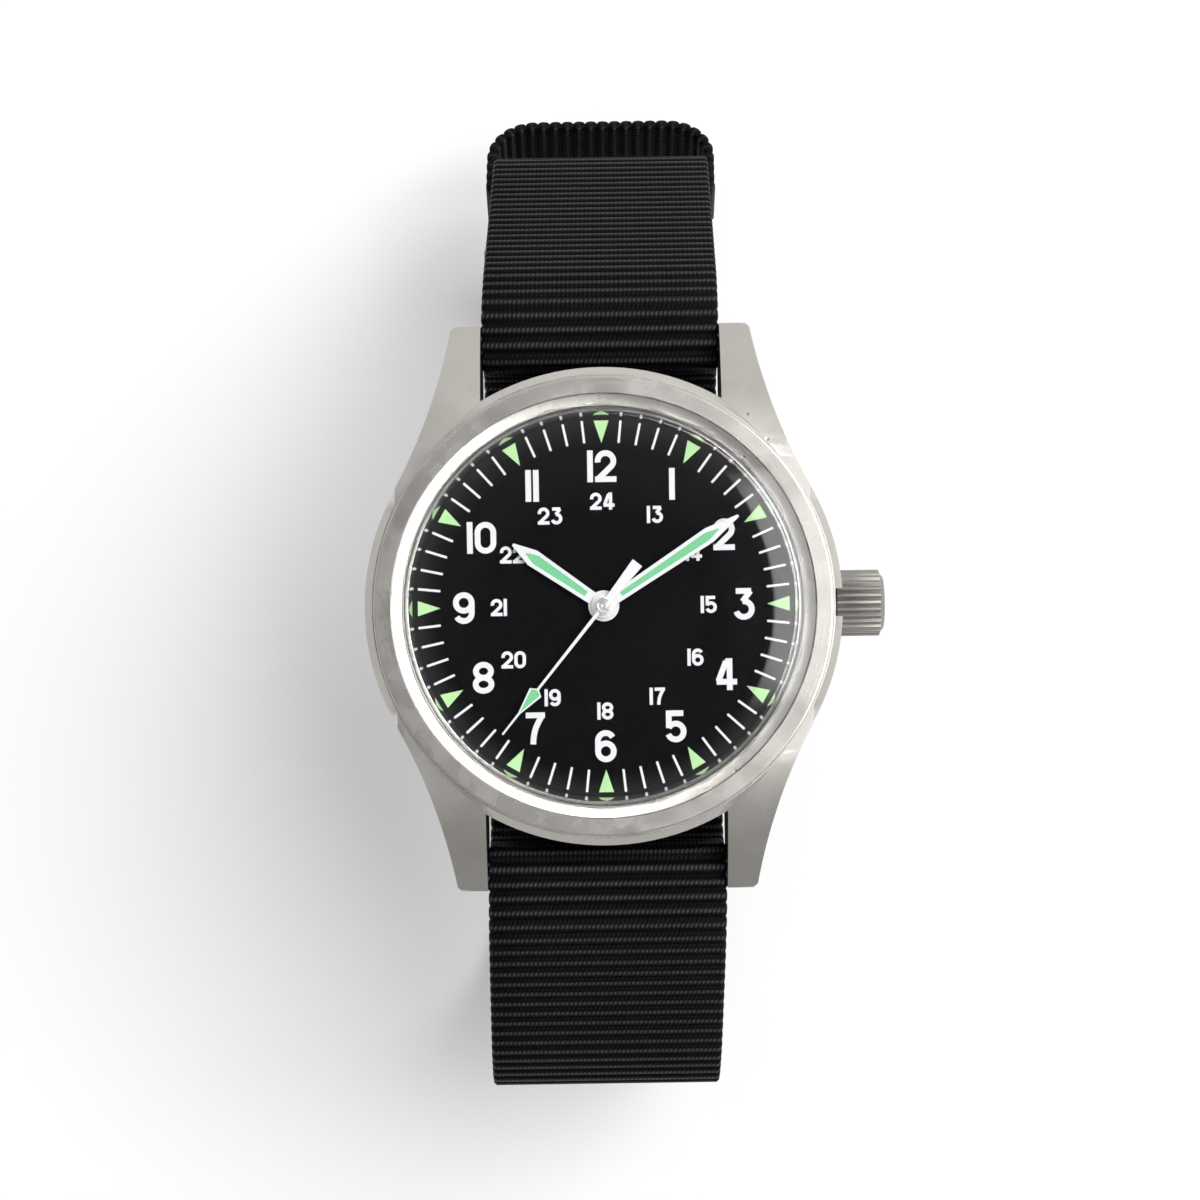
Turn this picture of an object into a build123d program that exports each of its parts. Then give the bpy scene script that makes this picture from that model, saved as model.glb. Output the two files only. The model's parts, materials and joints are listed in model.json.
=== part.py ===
"""A hand-wound field watch on a one-piece nylon strap, in millimetres.

+Z is the dial's normal, +Y points to 12 o'clock and +X to the crown. The origin is on the dial's
axis, at the underside of the strap's lowest run, where the closed watch rests. Heights in the
watch head are measured from the top of the case shoulder and turned into Z by level().
"""

import os
from math import atan2, cos, degrees, hypot, pi, radians, sin, tan

from build123d import *

# Flat sides of the small or hidden round pieces, which keep their facets few
pin_sides = 12
tube_sides = 16
ring_sides = 24
fine_sides = 64  # hidden rings near the case's own radius
jewel_sides = 8

# Case
shoulder_height = 48.8  # top of the case shoulder above the rest plane
bore_r = 15.0
case_wall = 3.0
case_r = bore_r + case_wall
case_depth = 7.0
shoulder_bevel = 0.6
flank_height = 5.4  # the straight side ends this far below the shoulder
flank_taper = 0.7
hand_fit = 0.05  # running clearance of pieces that are put in by hand
crystal_ledge_depth = 1.5
back_bore_depth = 5.4  # where the wider bore for the case back begins
wall_overrun = 1.0  # how far a cutter runs past the face that it cuts

# Lugs
strap_width = 18.0
strap_t = 1.2
layer_gap = 0.1
lug_length = 3.5  # from the case circle to the lug's tip
lug_reach = case_r + lug_length
lug_gap = strap_width + 2 * layer_gap
lug_outer_x = 11.4
lug_touch_angle = 30.0  # where the lug's outer edge leaves the case circle
lug_arc_r = 35.0
lug_drop = 3.1  # fall of the lug's top from the shoulder to its tip
lug_depth = 7.2
lug_top_run = 10.5  # from the lug's tip back to where its top begins to fall
lug_top_start = lug_reach - lug_top_run
lug_root_round = 0.65

# Bezel, crystal and tension ring
bezel_step = 0.75  # from the case circle in to the bezel
bezel_outer_r = case_r - bezel_step
bezel_width = 1.35
bezel_inner_r = bezel_outer_r - bezel_width
bezel_height = 0.65
bezel_chamfer = 0.2
crystal_r = bezel_inner_r - hand_fit
crystal_skirt = 0.88
crystal_skirt_r = crystal_r - crystal_skirt
crystal_thickness = 1.3
crystal_edge_height = 0.75
crystal_top_height = 1.3
crystal_fall_width = 4.0  # the ring that falls from the nearly flat middle to the edge
tension_ring_wall = 0.72
tension_ring_slope = 0.63
tension_ring_height = 1.2

# Case back and gasket
back_depth = 9.0
back_thread_step = 0.35  # how much wider than the case bore the back's thread is
back_thread_r = bore_r + back_thread_step
back_flange = 0.95
back_flange_r = back_thread_r + back_flange
back_slope = 1.8
back_face_r = back_flange_r - back_slope
back_flange_t = 0.7
back_wall = 0.9
back_floor = 1.2
back_notches = 6
back_notch_width = 2.4
back_notch_depth = 0.9
gasket_width = 0.45
gasket_t = 0.4

# Dial and movement
dial_depth = 2.05
dial_fit = 0.15
dial_r = bore_r - dial_fit
dial_t = 0.4
dial_hole_r = 1.0
dial_foot_r = 0.35
dial_foot_length = 1.0
dial_foot_margin = 1.0  # from the movement's edge in to the dial feet
dial_foot_angles = (100.0, 280.0)
movement_r = 12.8
movement_ring_fit = 0.1
movement_ring_r = bore_r - movement_ring_fit
plate_t = 2.0
motion_recess = 0.95
bridge_t = 0.5
barrel_bridge_t = 0.5
train_room = 1.95  # from the plate's back to the train bridge
barrel_room = 1.15  # from the plate's back to the barrel bridge
pillar_r = 0.9
bridge_foot_share = 0.88  # of the movement's radius
barrel_foot_angle = 100.0
train_foot_angles = (172.0, 235.0)
cock_foot_angle = -22.0
# Bridge outlines as shares of the movement's radius
barrel_bridge_shares = ((-0.12, 1.0), (-0.12, 0.3), (0.47, 0.3), (0.47, -0.2), (1.0, -0.2), (1.0, 1.0))
train_bridge_shares = ((-1.0, 0.16), (-0.1, 0.16), (0.17, 0.1), (0.17, -0.36), (-0.05, -1.0), (-1.0, -1.0))
screw_head_r = 0.7
screw_head_t = 0.25
jewel_r = 0.5
jewel_t = 0.3
pivot_r = 0.12
arbor_r = 0.2
pivot_play = 0.03

# Crown and keyless work
crown_axis_depth = 4.1
crown_r = 2.525
crown_reach = 3.3  # how far the crown stands past the case circle
crown_outer_x = case_r + crown_reach
crown_length = 3.65
crown_inner_x = crown_outer_x - crown_length
crown_flutes = 28
crown_flute_depth = 0.22
crown_land_share = 0.4  # of a flute's pitch
crown_chamfer = 0.3
crown_pocket_r = 2.8
crown_pocket_gap = 0.25
crown_pocket_floor = crown_inner_x - crown_pocket_gap
crown_notch_width = 2.1
crown_cavity_r = 1.6
crown_cap_t = 1.7
crown_cavity_end = crown_outer_x - crown_cap_t
tube_outer_r = 1.25
tube_inner_r = 0.8
tube_end_gap = 0.2
tube_outer_x = crown_cavity_end - tube_end_gap
crown_gasket_depth = 0.25
crown_gasket_x = crown_inner_x + crown_gasket_depth
crown_gasket_t = 0.45
stem_r = 0.45
stem_pilot_r = 0.3
stem_pilot_x = 5.2
stem_square_x = 7.25
clutch_r = 1.3
clutch_x = 7.5
clutch_length = 1.8
pinion_gap = 0.25
clutch_waist = 0.3
clutch_waist_start = 0.7
clutch_waist_length = 0.45
winding_pinion_teeth = 15
winding_pinion_length = 1.2
keyless_window_x = 7.2
keyless_window_end = 11.2
keyless_window_y = 1.85

# Motion work: teeth and module, all four wheels in mesh at rest
tooth_tip_share = 0.85  # of the module, above and below the pitch circle
tooth_root_share = 1.1
tooth_foot_share, tooth_land_share = 0.32, 0.11  # half widths at a tooth's root and tip, of the pitch
wheel_arms = 4
motion_module = 0.15
cannon_teeth = 10
minute_wheel_teeth = 30
minute_pinion_teeth = 8
hour_wheel_teeth = 32
setting_wheel_teeth = 20
minute_wheel_angle = 60.0
setting_wheel_angle = -16.0
motion_wheel_t = 0.25
cannon_tooth_t = 0.4
cannon_pipe_r = 0.5
cannon_bore_r = 0.36
hour_pipe_r = 0.8
motion_post_r = 0.3

# Going train: teeth, modules and bearings in the plate
barrel_teeth = 72
centre_pinion_teeth = 12
centre_wheel_teeth = 64
third_pinion_teeth = 8
third_wheel_teeth = 60
fourth_pinion_teeth = 8
fourth_wheel_teeth = 70
escape_pinion_teeth = 7
escape_teeth = 15
barrel_module = 0.155
centre_module = 0.12
escape_module = 0.1
barrel_angle = 62.0
third_angle = 200.0
escape_angle = 285.0
train_wheel_t = 0.15
barrel_teeth_t = 0.25
barrel_drum_t = 0.7
barrel_wall = 0.35
barrel_arbor_r = 0.9
mainspring_t = 0.14
mainspring_turns = 3
centre_arbor_r = 0.33
centre_arbor_bore = 0.19
seconds_arbor_r = 0.15
escape_wheel_r = 2.0
escape_rim = 0.3
escape_tooth_lean = 9.0  # degrees that a tooth's tip leads its root by
escape_tooth_land = 3.0
pallet_reach = 2.45
pallet_angle = 310.0
pallet_bridge_reach = 2.16
balance_x = 4.3
balance_y = -7.6
balance_r = 3.7
balance_rim = 0.5
balance_rim_t = 0.3
hairspring_inner_r = 0.7
hairspring_outer_r = 2.1
hairspring_turns = 2
hairspring_strip = 0.06
hairspring_height = 0.12
ratchet_teeth = 40
crown_wheel_teeth = 34
winding_module = 0.19
click_length = 1.6
click_width = 0.64
click_hub_r = 0.5

# Hands; lengths run from the dial's axis
hand_t = 0.15
lume_t = 0.1
hour_hand_lift = 0.5
minute_hand_lift = 0.92
seconds_hand_lift = 1.3
hour_hand_length = 8.3
hour_hand_width = 1.3
hour_hand_taper = 1.8  # from the hand's widest place to its tip
hour_hand_root_width = 0.88
hour_hub_r = 1.17
hour_lume_start = 1.6
hour_lume_end = 7.1
minute_hand_length = 12.2
minute_hand_width = 1.2
minute_hand_taper = 2.6
minute_hand_root_width = 0.85
minute_hub_r = 0.92
minute_lume_start = 1.55
minute_lume_end = 10.4
hand_border = 0.28
hand_tip_width = 0.2
seconds_hand_length = 12.3
seconds_hand_width = 0.29
seconds_hub_r = 0.68
seconds_tail_length = 4.1
seconds_tail_width = 0.9
seconds_tail_root_share = 1.7  # of the needle's width
seconds_plot_start = 8.1
seconds_plot_end = 10.2
seconds_plot_width = 0.8
seconds_plot_border = 0.15
hour_hand_angle = 304.8  # clockwise from 12, as is each hand's angle
minute_hand_angle = 57.0
seconds_hand_angle = 219.0

# Spring bars
bar_past_case = 2.15  # from the case circle to the bar's axis
bar_y = case_r + bar_past_case
bar_r = 0.7
bar_tube_half = 7.35
bar_pin_r = 0.38
bar_pin_fit = 0.04
bar_bore_r = bar_pin_r + bar_pin_fit
bar_pin_reach = 10.0
bar_pin_inner = 5.6
bar_collar_r = 0.6
bar_collar_x = 8.3
bar_collar_t = 0.25

# Strap
case_gap = 0.15
loop_reach = 38.3  # furthest Y of the loop's 6 o'clock side, at its outer face
strap_hole_r = 1.0
strap_hole_pitch = 6.4
strap_holes = 6
corner_share = 0.49  # of the shorter stretch beside a corner that its round may take
route_samples = 400  # steps along the last quarter of the strap, where the hole in use is sought
bar_wrap_round = bar_r + layer_gap + strap_t / 2
under_case_round = 4.0
# Corners of the two sides as shares: (reach / loop_reach, height / strap top over the bars)
twelve_side_shares = ((0.595, 0.987), (0.672, 0.918), (0.893, 0.628), (1.018, 0.468))
six_side_shares = ((-0.627, 0.987), (-0.712, 0.944), (-0.908, 0.82), (-0.986, 0.735))
twelve_side_rounds = (3.5, 6.0, 14.0, 5.0)
six_side_rounds = (8.0, 14.0, 8.0, 4.0)
six_foot_share = -0.93
six_foot_round = 14.0
twelve_foot_round = 8.0
rest_half = 14.0  # the flat stretch that the closed watch rests on reaches this far each way
foot_rise = 1.6  # of the lowest run's ends above its flat stretch

# Buckle, on a run that leans in below the keeper
buckle_lean = 27.0  # degrees from the vertical
buckle_drop = 12.0  # from the last corner of the 12 o'clock side down to the bar
buckle_bar_r = 0.75
frame_clearance = 0.15
frame_inner_half = strap_width / 2 + frame_clearance
frame_side = 0.95
frame_rail = 1.5
frame_t = 1.5
frame_reach = 8.4  # from the bar to the middle of the far rail
frame_rise = 1.75
frame_corner = 1.04
frame_bow_share = 0.62  # of the frame's rise, half-way along
frame_eye_r = 1.2
tongue_width = 1.8
tongue_t = 0.7
tongue_sleeve_r = 1.35
tongue_past_rail = 1.2
tongue_slot = 2.5
tail_past_bar = 7.5
fold_length = 8.8  # from the bar back up to the sewn end
fold_slot_share = 1.35  # of the wrap's radius, above the bar
tail_slot_share = 0.9
tail_slot_length = 6.0

# Keeper, between the last corner and the buckle bar
keeper_t = 0.9
keeper_band = 5.0
keeper_arch = 6.4
keeper_from_corner = 6.5
keeper_round = 3.8

BASE = (Align.CENTER, Align.CENTER, Align.MIN)


def level(depth):
    """The Z of a height given as a depth below the case shoulder."""
    return shoulder_height - depth


def disc(radius, low, high, x=0.0, y=0.0):
    """A round disc between two levels of Z."""
    return Pos(x, y, low) * Cylinder(radius, high - low, align=BASE)


def prism(radius, low, high, x=0.0, y=0.0, sides=pin_sides):
    """A flat-sided disc whose corners reach the radius."""
    return Pos(x, y, low) * extrude(RegularPolygon(radius, sides), high - low)


def tapered(low_radius, high_radius, low, high, sides=fine_sides):
    """A flat-sided cone between two levels of Z."""
    levels = ((low_radius, low), (high_radius, high))
    ends = [Pos(0, 0, z) * RegularPolygon(radius, sides) for radius, z in levels]
    return loft(ends, ruled=True)


def hole(radius, low, high, x=0.0, y=0.0, sides=pin_sides):
    """A flat-sided cutter whose sides touch the radius, so that it clears a round piece."""
    return prism(radius / cos(pi / sides), low, high, x, y, sides)


def rod(radius, start, end, z=0.0):
    """A round rod along X between two values of X."""
    return Location((start, 0, z), (0, 90, 0)) * Cylinder(radius, end - start, align=BASE)


def flat_rod(radius, start, end, y=0.0, z=0.0, sides=pin_sides):
    """A flat-sided rod along X whose corners reach the radius."""
    return Location((start, y, z), (0, 90, 0)) * extrude(RegularPolygon(radius, sides), end - start)


def flat_rod_hole(radius, start, end, y=0.0, z=0.0, sides=pin_sides):
    """A flat-sided cutter along X whose sides touch the radius."""
    return flat_rod(radius / cos(pi / sides), start, end, y, z, sides)


def turned(*profile):
    """A solid turned about the dial's axis from (radius, Z) points."""
    return revolve(Plane.XZ * make_face(Polyline(*profile, close=True)), Axis.Z)


def block(low, high):
    """A box from its lowest to its highest corner."""
    size = [b - a for a, b in zip(low, high)]
    return Pos(*low) * Box(*size, align=(Align.MIN, Align.MIN, Align.MIN))


def plate(points, low, high):
    """A flat piece: an outline in X and Y between two levels of Z."""
    return extrude(Pos(0, 0, low) * make_face(Polyline(*points, close=True)), high - low)


def save(node, body):
    """Write one node, a solid or a group of solids, to its own file."""
    export_step(body, f"parts/{node}.step")


def polar(radius, angle):
    """X and Y of a point given by radius and angle in degrees from +X."""
    return radius * cos(radians(angle)), radius * sin(radians(angle))


def pitch_r(teeth, module):
    return teeth * module / 2


def mesh_phase(phase, teeth, other_teeth, direction):
    """Where a tooth of the other wheel stands so that it meshes across the line of centres."""
    pitch, other_pitch = 360 / teeth, 360 / other_teeth
    offset = ((direction - phase) / pitch) % 1
    return direction + 180 + (offset + 0.5) * other_pitch


def toothed(teeth, module, low, high, phase=0.0, x=0.0, y=0.0, pointed=False):
    """A wheel or pinion with a tooth at the angle phase. Pointed teeth have two faces each."""
    middle = pitch_r(teeth, module)
    tip, root = middle + tooth_tip_share * module, middle - tooth_root_share * module
    pitch = 360 / teeth
    foot, land = tooth_foot_share, tooth_land_share
    corners = ((-foot, root), (-land, tip), (land, tip), (foot, root))
    if pointed:
        corners = ((-1 / 2, root), (0, tip))
    points = [
        (x + px, y + py)
        for k in range(teeth)
        for share, r in corners
        for px, py in [polar(r, phase + (k + share) * pitch)]
    ]
    return plate(points, low, high)


def spiral(inner_r, outer_r, turns, strip, low, high, x=0.0, y=0.0):
    """A strip wound in flat steps at a steady pitch, between the middle lines of its two ends."""
    steps = turns * pin_sides
    middle = [(inner_r + (outer_r - inner_r) * k / steps, 360 * k / pin_sides) for k in range(steps + 1)]
    edges = []
    for side, row in ((strip / 2, middle), (-strip / 2, middle[::-1])):
        edges += [polar(r + side, angle) for r, angle in row]
    return Pos(x, y, 0) * plate(edges, low, high)


# Case middle, with its lugs, bores and crown pocket
def bowed(start, end, radius):
    """The middle of an arc of a given radius between two points, bowed to the left of its way."""
    chord = (end[0] - start[0], end[1] - start[1])
    half = hypot(*chord) / 2
    sag = radius - (radius**2 - half**2) ** 0.5
    return ((start[0] + end[0]) / 2 - sag * chord[1] / (2 * half),
            (start[1] + end[1]) / 2 + sag * chord[0] / (2 * half))


def lug_block():
    """All four lugs as one length, before the gaps are cut."""
    start = polar(case_r, lug_touch_angle)
    tip = (lug_outer_x, lug_reach)
    corner = lug_root_round / 2
    right = [
        ThreePointArc(start, bowed(start, tip, lug_arc_r), (tip[0], tip[1] - corner)),
        Line((tip[0], tip[1] - corner), (tip[0] - corner, tip[1])),
        Line((tip[0] - corner, tip[1]), (0, tip[1])),
    ]
    quarter = right + [Line((0, tip[1]), (0, 0)), Line((0, 0), (start[0], 0)), Line((start[0], 0), start)]
    plan = make_face(Wire(quarter))
    plan += mirror(plan, Plane.YZ)
    plan += mirror(plan, Plane.XZ)
    tall = extrude(Pos(0, 0, level(lug_depth)) * plan, lug_depth)
    run = lug_reach - lug_top_start
    top_r = (run**2 + lug_drop**2) / (2 * lug_drop)
    bow = top_r - (top_r**2 - (run / 2) ** 2) ** 0.5
    wide = lug_reach + wall_overrun
    fall = lug_drop * (wide - lug_top_start) ** 2 / run**2
    side = [
        Line((0, level(0)), (lug_top_start, level(0))),
        ThreePointArc((lug_top_start, level(0)), (lug_top_start + run / 2, level(bow)),
                      (lug_reach, level(lug_drop))),
        Line((lug_reach, level(lug_drop)), (wide, level(fall))),
        Line((wide, level(fall)), (wide, level(lug_depth))),
        Line((wide, level(lug_depth)), (0, level(lug_depth))),
        Line((0, level(lug_depth)), (0, level(0))),
    ]
    half = Plane.YZ * make_face(Wire(side))
    profile = half + mirror(half, Plane.XZ)
    return tall & extrude(profile, lug_outer_x * 2, both=True)


def make_case():
    low, top, c = level(case_depth), level(0), shoulder_bevel
    band = turned(
        (case_r - flank_taper, low), (case_r, level(flank_height)), (case_r, top - c), (case_r - c, top),
        (0, top), (0, low))
    lugs = lug_block() - prism(case_r - c - wall_overrun, level(lug_depth), top, sides=ring_sides)
    half_gap = lug_gap / 2
    for end in (1, -1):
        reach = sorted((end * (lug_top_start - wall_overrun), end * (lug_reach + wall_overrun)))
        lugs -= block((-half_gap, reach[0], level(lug_depth)), (half_gap, reach[1], top))
    lugs -= hole(case_r, level(lug_depth), low, sides=ring_sides)
    case = band + lugs
    case -= hole(bore_r, low, top, sides=ring_sides)
    case -= hole(bezel_inner_r, level(crystal_ledge_depth), top, sides=ring_sides)
    case -= hole(back_thread_r + hand_fit, low, level(back_bore_depth), sides=ring_sides)
    axis_z = level(crown_axis_depth)
    case -= rod(crown_pocket_r, crown_pocket_floor, case_r + wall_overrun, z=axis_z)
    notch_half = crown_notch_width / 2
    case -= block((crown_pocket_floor, -notch_half, axis_z), (case_r + wall_overrun, notch_half, top))
    case -= flat_rod(tube_outer_r, bore_r - wall_overrun, crown_pocket_floor, z=axis_z, sides=tube_sides)
    for x in (half_gap, -half_gap - bar_pin_depth):
        for y in (bar_y, -bar_y):
            case -= flat_rod_hole(bar_bore_r, x, x + bar_pin_depth, y=y, z=bar_z)
    return case


# Levels and places that several pieces share
dial_top = level(dial_depth)
dial_foot_reach = movement_r - dial_foot_margin
plate_top = dial_top - dial_t
plate_back = plate_top - plate_t
train_bridge_low = plate_back - train_room - bridge_t
barrel_bridge_low = plate_back - barrel_room - barrel_bridge_t
strap_top_z = level(lug_drop + strap_t / 6)
bar_z = strap_top_z - strap_t - layer_gap - bar_r
bar_pin_depth = bar_pin_reach + hand_fit - lug_gap / 2
stem_z = level(crown_axis_depth)


def make_bezel():
    top, foot, c = level(-bezel_height), level(0), bezel_chamfer
    return turned(
        (bezel_inner_r, foot), (bezel_outer_r, foot), (bezel_outer_r, top - c),
        (bezel_outer_r - c, top), (bezel_inner_r, top))



def make_crystal():
    """A window that falls to its edge, with a skirt that stands on the case's ledge."""
    foot, edge, top = level(crystal_ledge_depth), level(-crystal_edge_height), level(-crystal_top_height)
    flat_r = crystal_r - crystal_fall_width
    window = turned((0, top), (flat_r, top), (crystal_r, edge), (crystal_r, foot), (0, foot))
    return window - hole(crystal_skirt_r, foot, top - crystal_thickness, sides=fine_sides)


def make_tension_ring():
    foot, top = dial_top, dial_top + tension_ring_height
    outer = crystal_skirt_r - hand_fit
    inner = outer - tension_ring_wall
    return prism(outer, foot, top, sides=fine_sides) - tapered(inner, inner + tension_ring_slope, foot, top)


def make_case_back():
    """The back's disc and flange, with a seat for the gasket round its thread wall."""
    seat, low, wall_top = level(case_depth), level(back_depth), level(back_bore_depth)
    back = tapered(back_face_r, back_flange_r, low, seat - back_flange_t)
    back += prism(back_flange_r, seat - back_flange_t, seat, sides=fine_sides)
    back -= hole(back_thread_r + gasket_width, seat - gasket_t, seat, sides=ring_sides)
    back += prism(back_thread_r, seat - gasket_t, wall_top, sides=ring_sides)
    back -= hole(back_thread_r - back_wall, low + back_floor, wall_top, sides=ring_sides)
    half = back_notch_width / 2
    notch = block((back_face_r - back_wall, -half, low),
                  (back_flange_r + wall_overrun, half, low + back_notch_depth))
    for k in range(back_notches):
        back -= Rot(0, 0, k * 360 / back_notches) * notch
    return back


def make_gasket():
    seat = level(case_depth)
    ring = hole(back_thread_r + gasket_width, seat - gasket_t, seat, sides=ring_sides)
    return ring - prism(back_thread_r, seat - gasket_t, seat, sides=ring_sides)


def make_movement_ring():
    low, top = level(back_bore_depth), plate_top
    ring = prism(movement_ring_r, low, top, sides=ring_sides)
    ring -= hole(movement_r + hand_fit, low, top, sides=ring_sides)
    return ring - flat_rod_hole(tube_inner_r, movement_r - wall_overrun, bore_r, z=stem_z)


def make_dial():
    dial = disc(dial_r, plate_top, dial_top) - hole(dial_hole_r, plate_top, dial_top)
    for angle in dial_foot_angles:
        x, y = polar(dial_foot_reach, angle)
        dial += prism(dial_foot_r, plate_top - dial_foot_length, plate_top, x, y)
    return dial


# Hands
def hand_blade(root_width, width, shoulder, length, start=0.0):
    """Half-widths along a hand that widens to its shoulder and tapers to its tip."""
    def half(r):
        return (root_width + (width - root_width) * r / shoulder) / 2
    tip = hand_tip_width / 2
    right = [(half(start), start), (width / 2, shoulder), (tip, length)]
    return right + [(-x, y) for x, y in reversed(right)]


def lume_outline(root_width, width, shoulder, start, end):
    def half(r):
        return (root_width + (width - root_width) * min(r, shoulder) / shoulder) / 2 - hand_border
    tip = hand_tip_width / 4
    right = [(half(start), start), (half(shoulder), shoulder), (tip, end)]
    return right + [(-x, y) for x, y in reversed(right)]


def lumed_hand(lift, hub_r, pipe_r, blade, lume, angle):
    """A hand with a window, and the lume that fills the window."""
    low = dial_top + lift
    hand = plate(blade, low, low + hand_t) + disc(hub_r, low, low + hand_t)
    hand = hand - plate(lume, low, low + hand_t) - hole(pipe_r, low, low + hand_t)
    turn = Rot(0, 0, -angle)
    return turn * hand, turn * plate(lume, low, low + lume_t)


def make_hands():
    hour_shoulder = hour_hand_length - hour_hand_taper
    hour = lumed_hand(
        hour_hand_lift, hour_hub_r, hour_pipe_r,
        hand_blade(hour_hand_root_width, hour_hand_width, hour_shoulder, hour_hand_length),
        lume_outline(hour_hand_root_width, hour_hand_width, hour_shoulder - hand_border,
                     hour_lume_start, hour_lume_end), hour_hand_angle)
    minute_shoulder = minute_hand_length - minute_hand_taper
    minute = lumed_hand(
        minute_hand_lift, minute_hub_r, cannon_pipe_r,
        hand_blade(minute_hand_root_width, minute_hand_width, minute_shoulder, minute_hand_length),
        lume_outline(minute_hand_root_width, minute_hand_width, minute_shoulder - hand_border,
                     minute_lume_start, minute_lume_end), minute_hand_angle)
    low = dial_top + seconds_hand_lift
    high = low + hand_t
    half = seconds_hand_width / 2
    needle = [(half, -seconds_tail_length / 4), (half / 2, seconds_hand_length),
              (-half / 2, seconds_hand_length), (-half, -seconds_tail_length / 4)]
    root = half * seconds_tail_root_share
    tail = [(root, 0), (seconds_tail_width / 2, -seconds_tail_length),
            (-seconds_tail_width / 2, -seconds_tail_length), (-root, 0)]
    widest = seconds_plot_start + seconds_plot_width / 4
    kite = [(0, seconds_plot_start), (seconds_plot_width / 2, widest), (0, seconds_plot_end),
            (-seconds_plot_width / 2, widest)]
    edge = seconds_plot_border
    frame_kite = [(0, seconds_plot_start - edge), (seconds_plot_width / 2 + edge, widest),
                  (0, seconds_plot_end + 3 * edge), (-seconds_plot_width / 2 - edge, widest)]
    seconds = plate(needle, low, high) + plate(tail, low, high) + plate(frame_kite, low, high)
    seconds += disc(seconds_hub_r, low, high)
    seconds = seconds - plate(kite, low, high) - hole(seconds_arbor_r, low, high)
    turn = Rot(0, 0, -seconds_hand_angle)
    return hour, minute, (turn * seconds, turn * plate(kite, low, low + lume_t))


# Motion work between the dial and the main plate
motion_distance = pitch_r(cannon_teeth + minute_wheel_teeth, motion_module)
setting_distance = pitch_r(minute_wheel_teeth + setting_wheel_teeth, motion_module)
minute_wheel_at = polar(motion_distance, minute_wheel_angle)
_offset = polar(setting_distance, setting_wheel_angle)
setting_wheel_at = (minute_wheel_at[0] + _offset[0], minute_wheel_at[1] + _offset[1])
hour_wheel_z = plate_top - 2 * hand_fit - motion_wheel_t
minute_wheel_z = hour_wheel_z - 2 * hand_fit - motion_wheel_t
recess_floor = plate_top - motion_recess


def make_motion_work():
    phase = minute_wheel_angle + 180  # a tooth of the minute wheel and pinion points at the axis
    x, y = minute_wheel_at
    setting_x, setting_y = setting_wheel_at
    cannon_phase = mesh_phase(phase, minute_wheel_teeth, cannon_teeth, phase)
    hour_phase = mesh_phase(phase, minute_pinion_teeth, hour_wheel_teeth, phase)
    setting_phase = mesh_phase(phase, minute_wheel_teeth, setting_wheel_teeth, setting_wheel_angle)
    cannon_low = recess_floor + hand_fit
    cannon_top = dial_top + minute_hand_lift + hand_t
    hour_top = dial_top + hour_hand_lift + hand_t
    pinion_top = hour_wheel_z + motion_wheel_t
    wheel_top = minute_wheel_z + motion_wheel_t
    post = motion_post_r + pivot_play
    cannon = toothed(cannon_teeth, motion_module, cannon_low, cannon_low + cannon_tooth_t, cannon_phase)
    cannon += prism(cannon_pipe_r, cannon_low, cannon_top, sides=tube_sides)
    cannon -= hole(cannon_bore_r, cannon_low, cannon_top)
    minute = toothed(minute_wheel_teeth, motion_module, minute_wheel_z, wheel_top, phase, x, y)
    minute += toothed(minute_pinion_teeth, motion_module, wheel_top, pinion_top, phase, x, y)
    minute -= hole(post, minute_wheel_z, pinion_top, x, y)
    hour = toothed(hour_wheel_teeth, motion_module, hour_wheel_z, pinion_top, hour_phase)
    hour += prism(hour_pipe_r, hour_wheel_z, hour_top, sides=tube_sides)
    hour -= hole(cannon_pipe_r + pivot_play, hour_wheel_z, hour_top)
    setting = toothed(setting_wheel_teeth, motion_module, minute_wheel_z, wheel_top, setting_phase,
                      setting_x, setting_y)
    setting -= hole(post, minute_wheel_z, wheel_top, setting_x, setting_y)
    return cannon, minute, hour, setting


# Going train behind the main plate
barrel_at = polar(pitch_r(barrel_teeth + centre_pinion_teeth, barrel_module), barrel_angle)
third_distance = pitch_r(centre_wheel_teeth + third_pinion_teeth, centre_module)
fourth_module = 2 * third_distance / (third_wheel_teeth + fourth_pinion_teeth)
third_at = polar(third_distance, third_angle)
escape_at = polar(pitch_r(fourth_wheel_teeth + escape_pinion_teeth, escape_module), escape_angle)
_fork = polar(pallet_reach, pallet_angle)
pallet_at = (escape_at[0] + _fork[0], escape_at[1] + _fork[1])
balance_at = (balance_x, balance_y)
centre_wheel_z = plate_back - 2 * hand_fit - train_wheel_t
barrel_top = centre_wheel_z - 2 * hand_fit
barrel_low = barrel_top - barrel_drum_t
third_wheel_z = barrel_low - hand_fit - train_wheel_t
fourth_wheel_z = third_wheel_z - hand_fit - train_wheel_t
bridge_face = plate_back - train_room
pivot_z = bridge_face - jewel_t
fork_z = barrel_low + barrel_drum_t / 2  # the level of the escape wheel and the pallet fork
fork_top = fork_z + train_wheel_t
pallet_bridge_low = fork_z - 4 * hand_fit - jewel_t
plate_pivot_z = plate_back + jewel_t

# Winding wheels below the barrel bridge; the crown wheel stands on the stem's line
winding_high = barrel_bridge_low - hand_fit
winding_low = winding_high - motion_wheel_t
winding_distance = pitch_r(ratchet_teeth + crown_wheel_teeth, winding_module)
crown_wheel_at = (barrel_at[0] + (winding_distance**2 - barrel_at[1] ** 2) ** 0.5, 0.0)
click_at = (barrel_at[0] + click_length,
            barrel_at[1] + pitch_r(ratchet_teeth, winding_module) + winding_module + click_width / 2)


def staff(x, y, low, pivot_low):
    """A wheel's arbor, from low up to the main plate, with a pivot at each end."""
    pivots = prism(pivot_r, pivot_low, plate_pivot_z, x, y, jewel_sides)
    return disc(arbor_r, low, plate_back - hand_fit, x=x, y=y) + pivots


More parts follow.
